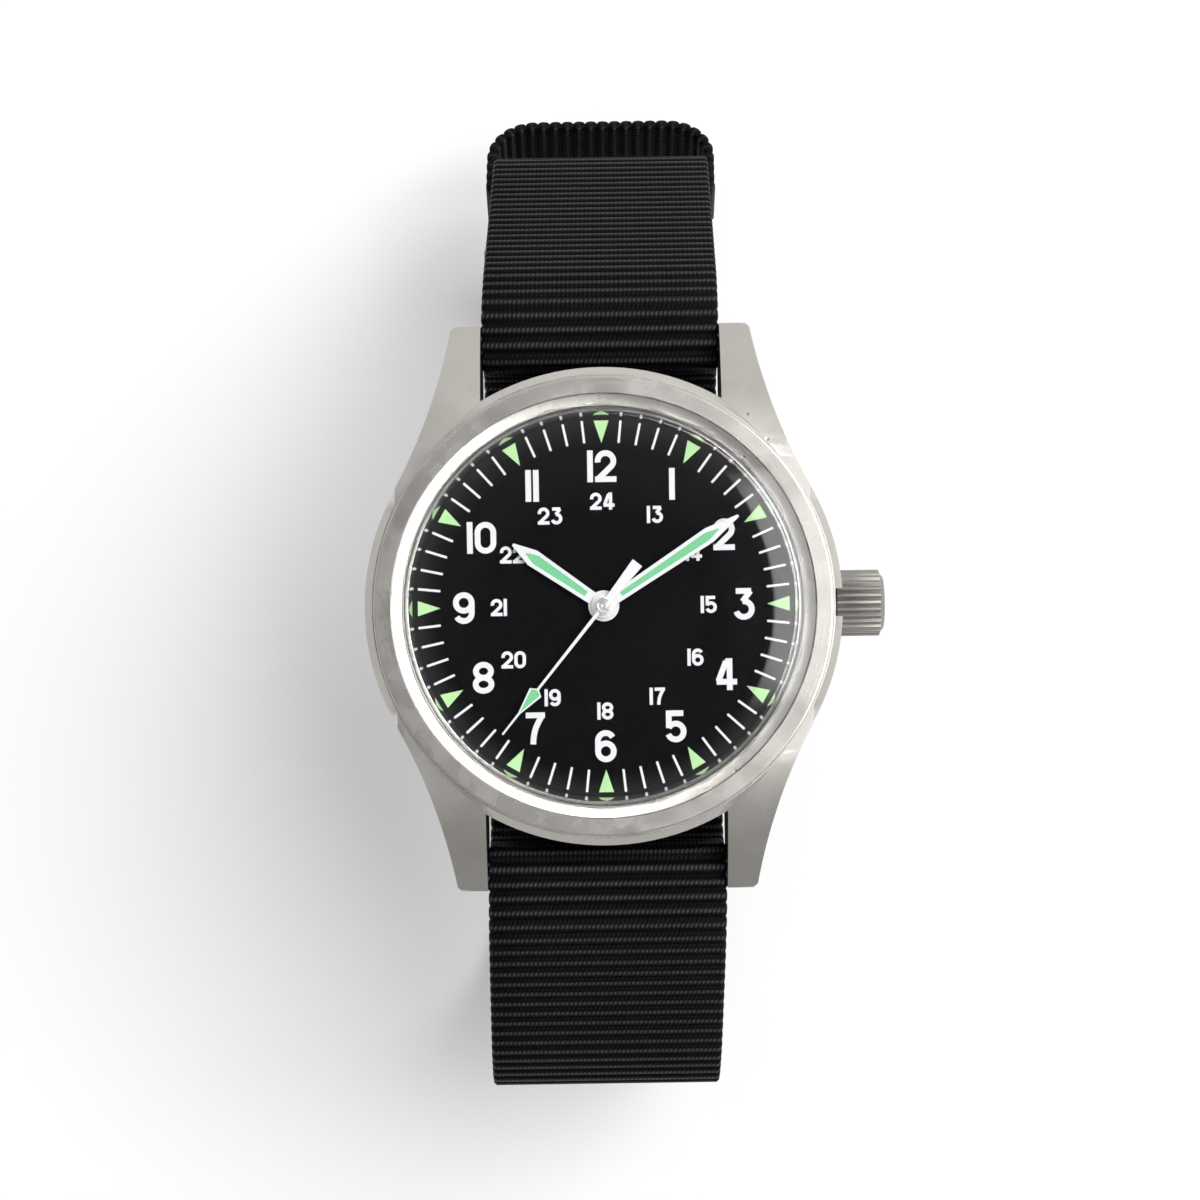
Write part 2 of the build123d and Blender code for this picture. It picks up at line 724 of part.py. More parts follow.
def spoked(wheel, radius, rim, hub, low, high, x=0.0, y=0.0):
    """Cut the windows between the four arms of a train wheel."""
    outer, half = radius - rim, rim / 2
    pitch = 360 / wheel_arms
    window = [(hub, half), (outer, half), polar(outer, pitch / 2), (half, outer), (half, hub)]
    for k in range(wheel_arms):
        wheel -= Pos(x, y, 0) * (Rot(0, 0, k * pitch) * plate(window, low, high))
    return wheel


def make_train():
    bx, by = barrel_at
    third_x, third_y = third_at
    ex, ey = escape_at
    barrel_phase = barrel_angle + 180
    teeth_low = barrel_top - barrel_teeth_t
    drum_r = pitch_r(barrel_teeth, barrel_module) - 2 * barrel_module
    barrel = toothed(barrel_teeth, barrel_module, teeth_low, barrel_top, barrel_phase, bx, by, pointed=True)
    barrel += prism(drum_r, barrel_low, teeth_low, bx, by, ring_sides)
    barrel -= hole(drum_r - barrel_wall, barrel_low, teeth_low, bx, by, ring_sides)
    barrel -= hole(stem_r + pivot_play, barrel_low, barrel_top, bx, by)
    spring_outer = drum_r - barrel_wall - 4 * mainspring_t
    mainspring = spiral(barrel_arbor_r + 2 * hand_fit + mainspring_t, spring_outer, mainspring_turns,
                        mainspring_t, barrel_low + hand_fit, teeth_low - hand_fit, bx, by)

    centre_low, centre_top = teeth_low - hand_fit, centre_wheel_z + train_wheel_t
    centre_r = pitch_r(centre_wheel_teeth, centre_module) - centre_module
    centre_phase = mesh_phase(barrel_phase, barrel_teeth, centre_pinion_teeth, barrel_phase)
    centre = toothed(centre_wheel_teeth, centre_module, centre_wheel_z, centre_top, pointed=True)
    centre = spoked(centre, centre_r, 4 * centre_module, centre_r / 3, centre_wheel_z, centre_top)
    centre += toothed(centre_pinion_teeth, barrel_module, centre_low, centre_wheel_z, centre_phase,
                      pointed=True)
    centre += prism(centre_arbor_r, centre_low, dial_top)
    centre -= hole(centre_arbor_bore, centre_low, dial_top)

    third_phase = mesh_phase(0, centre_wheel_teeth, third_pinion_teeth, third_angle)
    third_top = third_wheel_z + train_wheel_t
    third_r = pitch_r(third_wheel_teeth, fourth_module) - fourth_module
    third = toothed(third_wheel_teeth, fourth_module, third_wheel_z, third_top, third_phase,
                    third_x, third_y, pointed=True)
    third = spoked(third, third_r, 4 * fourth_module, third_r / 3, third_wheel_z, third_top, third_x, third_y)
    third += toothed(third_pinion_teeth, centre_module, centre_wheel_z - hand_fit, plate_back - hand_fit,
                     third_phase, third_x, third_y, pointed=True)
    third += staff(third_x, third_y, bridge_face + hand_fit, pivot_z)

    fourth_phase = mesh_phase(third_phase, third_wheel_teeth, fourth_pinion_teeth, third_angle + 180)
    fourth_top = fourth_wheel_z + train_wheel_t
    fourth_r = pitch_r(fourth_wheel_teeth, escape_module) - escape_module
    fourth = toothed(fourth_wheel_teeth, escape_module, fourth_wheel_z, fourth_top, fourth_phase, pointed=True)
    fourth = spoked(fourth, fourth_r, 4 * escape_module, fourth_r / 3, fourth_wheel_z, fourth_top)
    fourth += toothed(fourth_pinion_teeth, fourth_module, fourth_top, third_top, fourth_phase,
                      pointed=True)
    fourth += prism(seconds_arbor_r, pivot_z, dial_top + seconds_hand_lift + hand_t)

    escape_phase = mesh_phase(fourth_phase, fourth_wheel_teeth, escape_pinion_teeth, escape_angle)
    root_r = escape_wheel_r - 2 * escape_rim
    land = escape_tooth_lean + escape_tooth_land
    teeth = []
    for k in range(escape_teeth):
        angle = escape_phase + k * 360 / escape_teeth
        for lead, r in ((0, root_r), (escape_tooth_lean, escape_wheel_r), (land, escape_wheel_r)):
            px, py = polar(r, angle + lead)
            teeth.append((ex + px, ey + py))
    escape = plate(teeth, fork_z, fork_top)
    escape = spoked(escape, root_r, escape_rim, 2 * arbor_r, fork_z, fork_top, ex, ey)
    escape += toothed(escape_pinion_teeth, escape_module, bridge_face + hand_fit, fourth_top,
                      escape_phase, ex, ey, pointed=True)
    escape += staff(ex, ey, bridge_face + hand_fit, pivot_z)
    return barrel, mainspring, centre, third, fourth, escape


def make_escapement():
    """Pallet fork, its bridge, the balance and its spring."""
    px, py = pallet_at
    bx, by = balance_at
    to_balance = degrees(atan2(by - py, bx - px))
    arm = hypot(bx - px, by - py) - 4 * arbor_r
    half = arbor_r
    span = escape_wheel_r / 2
    lever = [(-half, -span), (half, -span), (half, -half), (arm, -half), (arm, half), (half, half),
             (half, span), (-half, span)]
    fork = Pos(px, py, 0) * (Rot(0, 0, to_balance) * plate(lever, fork_z, fork_top))
    fork += staff(px, py, fork_z - 2 * hand_fit, pallet_bridge_low)

    bridge_top = pallet_bridge_low + jewel_t
    reach, half = pallet_bridge_reach, pillar_r / 2
    strip = plate([(-reach, -half), (reach, -half), (reach, half), (-reach, half)], pallet_bridge_low, bridge_top)
    bridge = Pos(px, py, 0) * (Rot(0, 0, to_balance + 90) * strip)
    for side in (90, -90):
        dx, dy = polar(reach, to_balance + side)
        bridge += prism(half, pallet_bridge_low, plate_back, px + dx, py + dy)
    bridge -= hole(pivot_r + pivot_play, pallet_bridge_low, bridge_top, px, py)

    rim_z = pallet_bridge_low - 2 * hand_fit - balance_rim_t
    rim_top = rim_z + balance_rim_t
    balance = prism(balance_r, rim_z, rim_top, bx, by, ring_sides)
    balance -= hole(balance_r - balance_rim, rim_z, rim_top, bx, by, ring_sides)
    half = balance_rim / 2
    balance += Pos(bx, by, 0) * block((half - balance_r, -half, rim_z), (balance_r - half, half, rim_z + half))
    balance += prism(2 * arbor_r, rim_z, fork_z - hand_fit, bx, by)
    balance += staff(bx, by, bridge_face + hand_fit, pivot_z)
    spring_z = rim_z - hand_fit - hairspring_height
    hairspring = spiral(hairspring_inner_r, hairspring_outer_r, hairspring_turns, hairspring_strip,
                        spring_z, spring_z + hairspring_height, bx, by)
    return fork, bridge, balance, hairspring


def make_plates():
    """Main plate with its recess, keyless window and bearings."""
    body = prism(movement_r, plate_back, plate_top, sides=ring_sides)
    recess_r = pitch_r(hour_wheel_teeth, motion_module) + 3 * motion_module
    body -= hole(recess_r, recess_floor, plate_top, sides=ring_sides)
    for (x, y), teeth in ((minute_wheel_at, minute_wheel_teeth), (setting_wheel_at, setting_wheel_teeth)):
        body -= hole(pitch_r(teeth, motion_module) + 2 * motion_module, recess_floor, plate_top, x, y, tube_sides)
        body += disc(motion_post_r, recess_floor, hour_wheel_z, x=x, y=y)
    body -= hole(centre_arbor_r + pivot_play, plate_back, recess_floor)
    body -= block((keyless_window_x, -keyless_window_y, plate_back),
                  (keyless_window_end, keyless_window_y, plate_top))
    stem_end = movement_r + wall_overrun
    body -= flat_rod_hole(stem_r + pivot_play, keyless_window_end - wall_overrun, stem_end, z=stem_z)
    body -= flat_rod_hole(stem_pilot_r + pivot_play, stem_pilot_x - hand_fit, keyless_window_x, z=stem_z)
    for x, y in (third_at, escape_at, pallet_at, balance_at):
        body -= prism(jewel_r, plate_back, plate_back + jewel_t, x, y, jewel_sides)
    for angle in dial_foot_angles:
        x, y = polar(dial_foot_reach, angle)
        body -= hole(dial_foot_r + pivot_play, plate_top - dial_foot_length - hand_fit, plate_top, x, y)
    return body


def bridge(outline, low, thickness, feet, jewel_spots):
    """A flat bridge on pillars that reach the main plate, bored for its jewels."""
    high = low + thickness
    body = plate(outline, low, high) & prism(movement_r, low, high, sides=ring_sides)
    for x, y in feet:
        body += prism(pillar_r, high, plate_back, x, y)
    for x, y in jewel_spots:
        body -= prism(jewel_r, high - jewel_t, high, x, y, jewel_sides)
    return body


def make_bridges():
    bx, by = barrel_at
    edge = movement_r
    reach = edge * bridge_foot_share
    window_r = stem_r + pivot_play
    barrel_high = barrel_bridge_low + barrel_bridge_t
    barrel_outline = [(px * edge, py * edge) for px, py in barrel_bridge_shares]
    barrel_foot = polar(reach, barrel_foot_angle)
    barrel_bridge = bridge(barrel_outline, barrel_bridge_low, barrel_bridge_t, [barrel_foot], [])
    barrel_bridge -= hole(window_r, barrel_bridge_low, barrel_high, bx, by)
    barrel_bridge -= block((keyless_window_x + clutch_length, -keyless_window_y, barrel_bridge_low),
                           (keyless_window_end, keyless_window_y, barrel_high))
    # Posts for the crown wheel and the click, below the bridge
    post_low = winding_low - hand_fit
    barrel_bridge += disc(stem_r, post_low, barrel_bridge_low, x=crown_wheel_at[0], y=crown_wheel_at[1])
    barrel_bridge += disc(motion_post_r, post_low, barrel_bridge_low, x=click_at[0], y=click_at[1])

    train_outline = [(px * edge, py * edge) for px, py in train_bridge_shares]
    train_feet = [polar(reach, angle) for angle in train_foot_angles]
    train_bridge = bridge(train_outline, train_bridge_low, bridge_t, train_feet, (third_at, (0, 0), escape_at))

    cx, cy = balance_at
    foot = polar(reach, cock_foot_angle)
    toward = degrees(atan2(cy - foot[1], cx - foot[0]))
    end = hypot(cx - foot[0], cy - foot[1]) + pillar_r
    cock_high = train_bridge_low + bridge_t
    strip = plate([(-pillar_r, -pillar_r), (end, -pillar_r), (end, pillar_r), (-pillar_r, pillar_r)],
                  train_bridge_low, cock_high)
    cock = Pos(foot[0], foot[1], 0) * (Rot(0, 0, toward) * strip)
    cock = cock & prism(movement_r, train_bridge_low, cock_high, sides=ring_sides)
    cock += prism(pillar_r, cock_high, plate_back, *foot)
    cock -= prism(jewel_r, cock_high - jewel_t, cock_high, cx, cy, jewel_sides)

    heads = [(barrel_foot, barrel_bridge_low), (foot, train_bridge_low),
             (crown_wheel_at, post_low), (click_at, post_low)]
    heads += [(place, train_bridge_low) for place in train_feet]
    screws = [prism(screw_head_r, low - screw_head_t, low, x, y) for (x, y), low in heads]
    jewels = []
    for (x, y), low in (
        (third_at, plate_back), (escape_at, plate_back), (pallet_at, plate_back), (balance_at, plate_back),
        (third_at, pivot_z), (escape_at, pivot_z), ((0, 0), pivot_z), (balance_at, pivot_z),
    ):
        bore = (seconds_arbor_r if (x, y) == (0, 0) else pivot_r) + pivot_play
        stone = prism(jewel_r, low, low + jewel_t, x, y, jewel_sides)
        jewels.append(stone - hole(bore, low, low + jewel_t, x, y, jewel_sides))
    return barrel_bridge, train_bridge, cock, Compound(screws), Compound(jewels)


def make_winding():
    """Ratchet wheel with the barrel arbor, crown wheel and click, below the barrel bridge."""
    bx, by = barrel_at
    cx, cy = crown_wheel_at
    direction = degrees(atan2(cy - by, cx - bx))
    ratchet = toothed(ratchet_teeth, winding_module, winding_low, winding_high, direction, bx, by, pointed=True)
    arbor = disc(stem_r, winding_high, barrel_top, x=bx, y=by)
    arbor += prism(barrel_arbor_r, barrel_low + hand_fit, barrel_top - barrel_teeth_t - hand_fit, bx, by)
    crown_phase = mesh_phase(direction, ratchet_teeth, crown_wheel_teeth, direction)
    crown_wheel = toothed(crown_wheel_teeth, winding_module, winding_low, winding_high, crown_phase,
                          cx, cy, pointed=True)
    crown_wheel -= hole(stem_r + pivot_play, winding_low, winding_high, cx, cy)
    half = click_width / 2
    arm = plate([(-click_length, 0), (0, -half / 2), (half, half), (0, 2 * half), (-click_length, half)],
                winding_low, winding_high)
    click = Pos(click_at[0], click_at[1], 0) * arm + prism(click_hub_r, winding_low, winding_high, *click_at)
    click -= hole(motion_post_r + pivot_play, winding_low, winding_high, *click_at)
    return ratchet, arbor, crown_wheel, click


# Crown and stem
def make_crown():
    """A fluted grip with a plain bevelled end, hollow where the crown tube enters."""
    z, length = stem_z, crown_outer_x - crown_inner_x
    root_r, pitch = crown_r - crown_flute_depth, 360 / crown_flutes
    corners = ((-crown_land_share / 2, crown_r), (crown_land_share / 2, crown_r), (1 / 2, root_r))
    outline = [polar(r, (k + share) * pitch) for k in range(crown_flutes) for share, r in corners]
    grip = plate(outline, 0, length - crown_chamfer)
    end = Pos(0, 0, length - crown_chamfer) * Cone(root_r, root_r - crown_chamfer, crown_chamfer, align=BASE)
    crown = Location((crown_inner_x, 0, z), (0, 90, 0)) * (grip + end)
    return crown - flat_rod(crown_cavity_r, crown_inner_x, crown_cavity_end, z=z, sides=tube_sides)


def make_stem_group():
    z = stem_z
    stem = flat_rod(stem_r, stem_square_x, crown_cavity_end, z=z)
    stem += flat_rod(stem_pilot_r, stem_pilot_x, stem_square_x, z=z)
    tube = flat_rod(tube_outer_r, bore_r, tube_outer_x, z=z, sides=tube_sides)
    tube -= flat_rod_hole(tube_inner_r, bore_r, tube_outer_x, z=z)
    gasket_end = crown_gasket_x + crown_gasket_t
    gasket = flat_rod(crown_cavity_r, crown_gasket_x, gasket_end, z=z, sides=tube_sides)
    gasket -= flat_rod_hole(tube_outer_r + hand_fit, crown_gasket_x, gasket_end, z=z, sides=tube_sides)
    clutch_end = clutch_x + clutch_length
    waist = clutch_x + clutch_waist_start
    clutch = flat_rod(clutch_r, clutch_x, clutch_end, z=z, sides=tube_sides)
    clutch -= rod(clutch_r, waist, waist + clutch_waist_length, z=z)
    clutch += flat_rod(clutch_r - clutch_waist, waist, waist + clutch_waist_length, z=z, sides=tube_sides)
    clutch -= flat_rod_hole(stem_r + pivot_play, clutch_x, clutch_end, z=z)
    start = clutch_end + pinion_gap
    teeth = toothed(winding_pinion_teeth, winding_module, 0, winding_pinion_length, pointed=True)
    pinion = Location((start, 0, z), (0, 90, 0)) * teeth
    pinion -= flat_rod_hole(stem_r + pivot_play, start, start + winding_pinion_length, z=z)
    return make_crown(), stem, tube, gasket, clutch, pinion


# Spring bars
def make_spring_bar(y):
    tube = flat_rod(bar_r, -bar_tube_half, bar_tube_half, y=y, z=bar_z, sides=tube_sides)
    tube -= flat_rod_hole(bar_bore_r, -bar_tube_half, bar_tube_half, y=y, z=bar_z)
    right = flat_rod(bar_pin_r, bar_pin_inner, bar_pin_reach, y=y, z=bar_z)
    right += flat_rod(bar_collar_r, bar_collar_x, bar_collar_x + bar_collar_t, y=y, z=bar_z)
    return tube, right, mirror(right, Plane.YZ)


# Strap, buckle and keeper
half_strap = strap_t / 2
lean = radians(buckle_lean)
run_dir = (-sin(lean), -cos(lean))  # Y and Z of the buckle's run, downwards
run_out = (cos(lean), -sin(lean))  # its outward normal
last_corner = (twelve_side_shares[-1][0] * loop_reach, twelve_side_shares[-1][1] * strap_top_z)
bar_wrap = buckle_bar_r + layer_gap + half_strap  # the strap's middle line round the buckle bar


def on_run(along, out):
    """A point beside the buckle's run: along it from the bar, and out from the strap's middle line."""
    d = buckle_drop + along
    return (last_corner[0] + d * run_dir[0] + out * run_out[0],
            last_corner[1] + d * run_dir[1] + out * run_out[1])


def fitted(points, rounds):
    """Each inner corner's radius, no larger than the stretches beside it allow."""
    out = []
    for (ax, ay), (bx, by), (cx, cy), radius in zip(points, points[1:], points[2:], rounds):
        before, after = hypot(bx - ax, by - ay), hypot(cx - bx, cy - by)
        turn = abs(atan2((bx - ax) * (cy - by) - (by - ay) * (cx - bx),
                         (bx - ax) * (cx - bx) + (by - ay) * (cy - by)))
        room = min(before, after) * corner_share
        out.append(min(radius, room / tan(turn / 2)) if turn else radius)
    return out


def strap_route():
    """Corners of the strap's middle line in Y and Z, with a radius for each inner corner."""
    under = level(back_depth) - case_gap - half_strap
    over = bar_z + bar_r + layer_gap + half_strap
    inside = bar_y - bar_wrap_round
    # The keeper's back lies between the strap and its sewn end
    fold_in = strap_t + keeper_t + 2 * layer_gap
    tail_out = strap_t + 2 * layer_gap
    far_in = frame_rise - bar_wrap - frame_t / 2 - 3 * layer_gap - half_strap
    crossing = frame_reach - frame_rail
    points, rounds = [on_run(-fold_length, -fold_in)], []

    def turn(point, radius):
        points.append(point)
        rounds.append(radius)

    turn(on_run(-bar_wrap, -2 * bar_wrap), bar_wrap)
    turn(on_run(bar_wrap, -2 * bar_wrap), bar_wrap)
    turn(on_run(bar_wrap, 0), bar_wrap)
    for (reach, height), radius in reversed(list(zip(twelve_side_shares, twelve_side_rounds))):
        turn((reach * loop_reach, height * strap_top_z), radius)
    points[-1] = (points[-1][0], over)
    turn((inside, over), bar_wrap_round)
    turn((inside, under), under_case_round)
    turn((-inside, under), under_case_round)
    turn((-inside, over), bar_wrap_round)
    first = True
    for (reach, height), radius in zip(six_side_shares, six_side_rounds):
        turn((reach * loop_reach, over if first else height * strap_top_z), radius)
        first = False
    foot = half_strap + foot_rise
    turn((six_foot_share * loop_reach, foot), six_foot_round)
    turn((-rest_half, half_strap), 0)
    turn((rest_half, half_strap), 0)
    foot_y, foot_z = on_run(crossing, far_in)
    turn((foot_y + (foot_z - foot) * run_dir[0] / -run_dir[1], foot), twelve_foot_round)
    turn((foot_y, foot_z), 2 * strap_t)
    turn(on_run(bar_wrap / 2, tail_out), bar_wrap + tail_out)
    points.append(on_run(-tail_past_bar, tail_out))
    return points, fitted(points, rounds)


def buckle_place():
    """The buckle's own frame: X along the bar, Y down the run, Z outwards, origin on the bar."""
    y, z = on_run(0, -bar_wrap)
    return Plane(origin=(0, y, z), x_dir=(1, 0, 0), z_dir=(0, run_out[0], run_out[1]))


def make_strap():
    points, rounds = strap_route()
    path = FilletPolyline(*points, radius=rounds)
    print(f"strap length {path.length:.1f}")
    strap = extrude(Plane.YZ * trace(path, strap_t), strap_width / 2, both=True)
    place = buckle_place().location
    half = tongue_slot / 2
    reach = bar_wrap + strap_t
    strap -= place * block((-half, -fold_slot_share * bar_wrap, -reach), (half, reach, bar_wrap + half_strap))
    slot_start = tail_slot_share * bar_wrap
    strap -= place * block((-half, slot_start, 0), (half, slot_start + tail_slot_length, 4 * strap_t))
    used_hole = Vector(*on_run(frame_reach / 2, 0))
    samples = [1 - k / (4 * route_samples) for k in range(route_samples)]
    used_at = min(samples, key=lambda share: (path @ share - used_hole).length) * path.length
    for k in range(1, strap_holes + 1):
        share = (used_at - k * strap_hole_pitch) / path.length
        middle, heading = path @ share, path % share
        at = Plane(origin=(0, middle.X, middle.Y), x_dir=(1, 0, 0), z_dir=(0, -heading.Y, heading.X))
        strap -= at.location * prism(strap_hole_r, -strap_t, strap_t)
    return strap


def make_buckle():
    place = buckle_place().location
    outer_half = frame_inner_half + frame_side
    outer_end = frame_reach + frame_rail / 2
    inner_end = frame_reach - frame_rail / 2
    plan = Pos(0, (outer_end - frame_eye_r) / 2) * RectangleRounded(
        2 * outer_half, outer_end + frame_eye_r, frame_corner)
    plan -= Pos(0, inner_end / 2 - wall_overrun) * Rectangle(2 * frame_inner_half, inner_end + 2 * wall_overrun)
    tall = extrude(Pos(0, 0, -2 * frame_rise) * plan, 5 * frame_rise)
    half = frame_t / 2
    middle = (frame_reach / 2, frame_rise * frame_bow_share)
    band = [
        ThreePointArc((-frame_eye_r, half), (middle[0], middle[1] + half), (outer_end, frame_rise + half)),
        Line((outer_end, frame_rise + half), (outer_end, frame_rise - half)),
        ThreePointArc((outer_end, frame_rise - half), (middle[0], middle[1] - half), (-frame_eye_r, -half)),
        Line((-frame_eye_r, -half), (-frame_eye_r, half)),
    ]
    frame = tall & extrude(Plane.YZ * make_face(Wire(band)), 2 * outer_half, both=True)
    bar = rod(buckle_bar_r, -outer_half, outer_half)
    frame -= bar
    rest = frame_rise + half + hand_fit
    tip = frame_reach + tongue_past_rail
    side = [(0, tongue_sleeve_r - tongue_t), (frame_reach, rest), (tip, rest), (tip, rest + tongue_t / 2),
            (frame_reach, rest + tongue_t), (0, tongue_sleeve_r)]
    blade = Plane.YZ * make_face(Polyline(*side, close=True))
    half = tongue_width / 2
    tongue = extrude(blade, half, both=True) + flat_rod(tongue_sleeve_r, -half, half, sides=tube_sides)
    tongue -= flat_rod_hole(buckle_bar_r + hand_fit, -half, half, sides=tube_sides)
    return place * frame, place * bar, place * tongue


def make_keeper():
    """A webbing loop round the strap, square to the buckle's run, that stands open as an arch."""
    y, z = on_run(keeper_from_corner - buckle_drop, 0)
    place = Plane(origin=(0, y, z), x_dir=(1, 0, 0), z_dir=(0, -run_dir[0], -run_dir[1])).location
    side = strap_width / 2 + layer_gap
    low, high = -half_strap - layer_gap, half_strap + keeper_arch
    middle, height = (high + low) / 2, high - low
    outer_side = side + keeper_t
    outer = Pos(0, middle) * RectangleRounded(2 * outer_side, height + 2 * keeper_t, keeper_round + keeper_t)
    inner = Pos(0, middle) * RectangleRounded(2 * side, height, keeper_round)
    # The webbing folds flat round the strap's edges, and only the arch above is rounded
    outer += Pos(0, (middle + low - keeper_t) / 2) * Rectangle(2 * outer_side, middle - low + keeper_t)
    inner += Pos(0, (middle + low) / 2) * Rectangle(2 * side, middle - low)
    return place * extrude(outer - inner, keeper_band / 2, both=True)


def main():
    os.makedirs("parts", exist_ok=True)
    save("case_middle", make_case())
    save("bezel", make_bezel())
    save("crystal", make_crystal())
    save("tension_ring", make_tension_ring())
    save("case_back", make_case_back())
    save("case_back_gasket", make_gasket())
    save("movement_ring", make_movement_ring())
    save("dial", make_dial())
    for name, (hand, lume) in zip(("hour", "minute", "seconds"), make_hands()):
        save(f"{name}_hand", hand)
        save(f"{name}_hand_lume", lume)
    groups = (
        (("cannon_pinion", "minute_wheel", "hour_wheel", "setting_wheel"), make_motion_work()),
        (("mainspring_barrel", "mainspring", "centre_wheel", "third_wheel", "fourth_wheel", "escape_wheel"),
         make_train()),
        (("pallet_fork", "pallet_bridge", "balance_wheel", "hairspring"), make_escapement()),
        (("main_plate",), (make_plates(),)),
        (("barrel_bridge", "train_bridge", "balance_cock", "bridge_screws", "jewels"), make_bridges()),
        (("ratchet_wheel", "barrel_arbor", "crown_wheel", "click"), make_winding()),
        (("crown", "winding_stem", "crown_tube", "crown_gasket", "clutch_wheel", "winding_pinion"),
         make_stem_group()),
        (("buckle_frame", "buckle_bar", "buckle_tongue"), make_buckle()),
    )
    for names, bodies in groups:
        for name, body in zip(names, bodies):
            save(name, body)
    for hour, y in ((12, bar_y), (6, -bar_y)):
        for name, body in zip(("tube", "pin_right", "pin_left"), make_spring_bar(y)):
            save(f"spring_bar_{hour}_{name}", body)
    save("strap", make_strap())
    save("strap_keeper", make_keeper())


main()
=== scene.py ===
import json
from math import acos, atan2, cos, hypot, pi, radians, remainder, sin, sqrt, tan

import bmesh
import bpy
from mathutils import Matrix, Vector


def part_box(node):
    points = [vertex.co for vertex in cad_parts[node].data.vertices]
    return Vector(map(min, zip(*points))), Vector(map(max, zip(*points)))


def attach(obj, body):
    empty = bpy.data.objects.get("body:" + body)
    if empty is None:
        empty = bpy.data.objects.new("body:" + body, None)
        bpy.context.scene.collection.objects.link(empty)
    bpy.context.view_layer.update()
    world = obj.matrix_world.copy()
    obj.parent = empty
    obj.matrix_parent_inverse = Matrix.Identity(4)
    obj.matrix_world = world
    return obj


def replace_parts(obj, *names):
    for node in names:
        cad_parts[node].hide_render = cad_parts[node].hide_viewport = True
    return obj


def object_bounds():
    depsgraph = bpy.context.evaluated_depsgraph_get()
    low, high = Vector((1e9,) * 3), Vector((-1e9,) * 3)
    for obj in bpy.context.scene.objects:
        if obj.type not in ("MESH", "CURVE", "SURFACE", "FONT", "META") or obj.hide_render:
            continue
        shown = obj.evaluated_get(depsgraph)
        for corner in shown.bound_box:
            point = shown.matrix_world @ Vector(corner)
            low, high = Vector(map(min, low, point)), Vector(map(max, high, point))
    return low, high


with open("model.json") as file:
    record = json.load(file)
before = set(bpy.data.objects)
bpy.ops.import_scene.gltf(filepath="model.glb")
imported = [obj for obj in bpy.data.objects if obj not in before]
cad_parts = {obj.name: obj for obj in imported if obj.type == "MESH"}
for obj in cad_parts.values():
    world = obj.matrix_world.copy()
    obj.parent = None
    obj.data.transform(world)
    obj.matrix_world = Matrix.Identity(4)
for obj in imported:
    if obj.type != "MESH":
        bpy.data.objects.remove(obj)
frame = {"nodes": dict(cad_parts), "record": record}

cad_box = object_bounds()
MM = 0.001
nodes = frame["nodes"]
scene = bpy.context.scene
scene.view_settings.view_transform = "Standard"

# Levels and places that the frame gives
dial_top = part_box("dial")[1].z
case_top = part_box("bezel")[0].z
rest_z = cad_box[0].z

# Camera
VIEW_DISTANCE = 205 * MM
FRAMED_LENS, FRAMED_FROM = 72.0, 180 * MM  # a lens and a distance that give the photo's framing
LENS = FRAMED_LENS * VIEW_DISTANCE / FRAMED_FROM
SENSOR = 36.0
CLIP_NEAR, CLIP_FAR = 0.01, 10.0
VIEW_CENTRE = Vector((-0.28 * MM, 0.42 * MM, case_top))
VIEW_TURN = radians(0.85)  # the watch leans to the left in the picture
VIEW_BELOW = radians(1.3)  # the camera stands a little low

# Colours, linear
STEEL = (0.64, 0.615, 0.575)
BEZEL_STEEL = (0.66, 0.635, 0.60)
POLISHED = (0.72, 0.72, 0.71)
BLACK_PAINT = (0.0035, 0.0036, 0.0042)
WHITE_PAINT = (0.84, 0.85, 0.87)
LUME_MARKER = (0.50, 0.80, 0.39)
LUME_HAND = (0.21, 0.62, 0.32)
NYLON = (0.0022, 0.0023, 0.0030)
# Painted highlight: the lighter colour laid on the webbing's rib crests in place of the light they catch
NYLON_PAINTED_GLINT = (0.072, 0.075, 0.080)
BRASS = (0.70, 0.55, 0.30)
NICKEL = (0.66, 0.65, 0.62)
RUBY = (0.45, 0.02, 0.08)
RUBBER = (0.012, 0.012, 0.012)


# Sizes of the surfaces' grain
STEEL_GRAIN, STEEL_CLOUD, NICK_SPACING = 0.09 * MM, 4.0 * MM, 3.2 * MM
BRUSH_LINE, BRUSH_HEIGHT, BRUSH_CLOUD = 0.05 * MM, 0.2 * MM, 3.0 * MM
CRYSTAL_IOR = 1.49
YARN_PITCH = 0.34  # of the twist in a rib's cord, in the millimetres of the map named flat
NYLON_GLOSS = 0.07


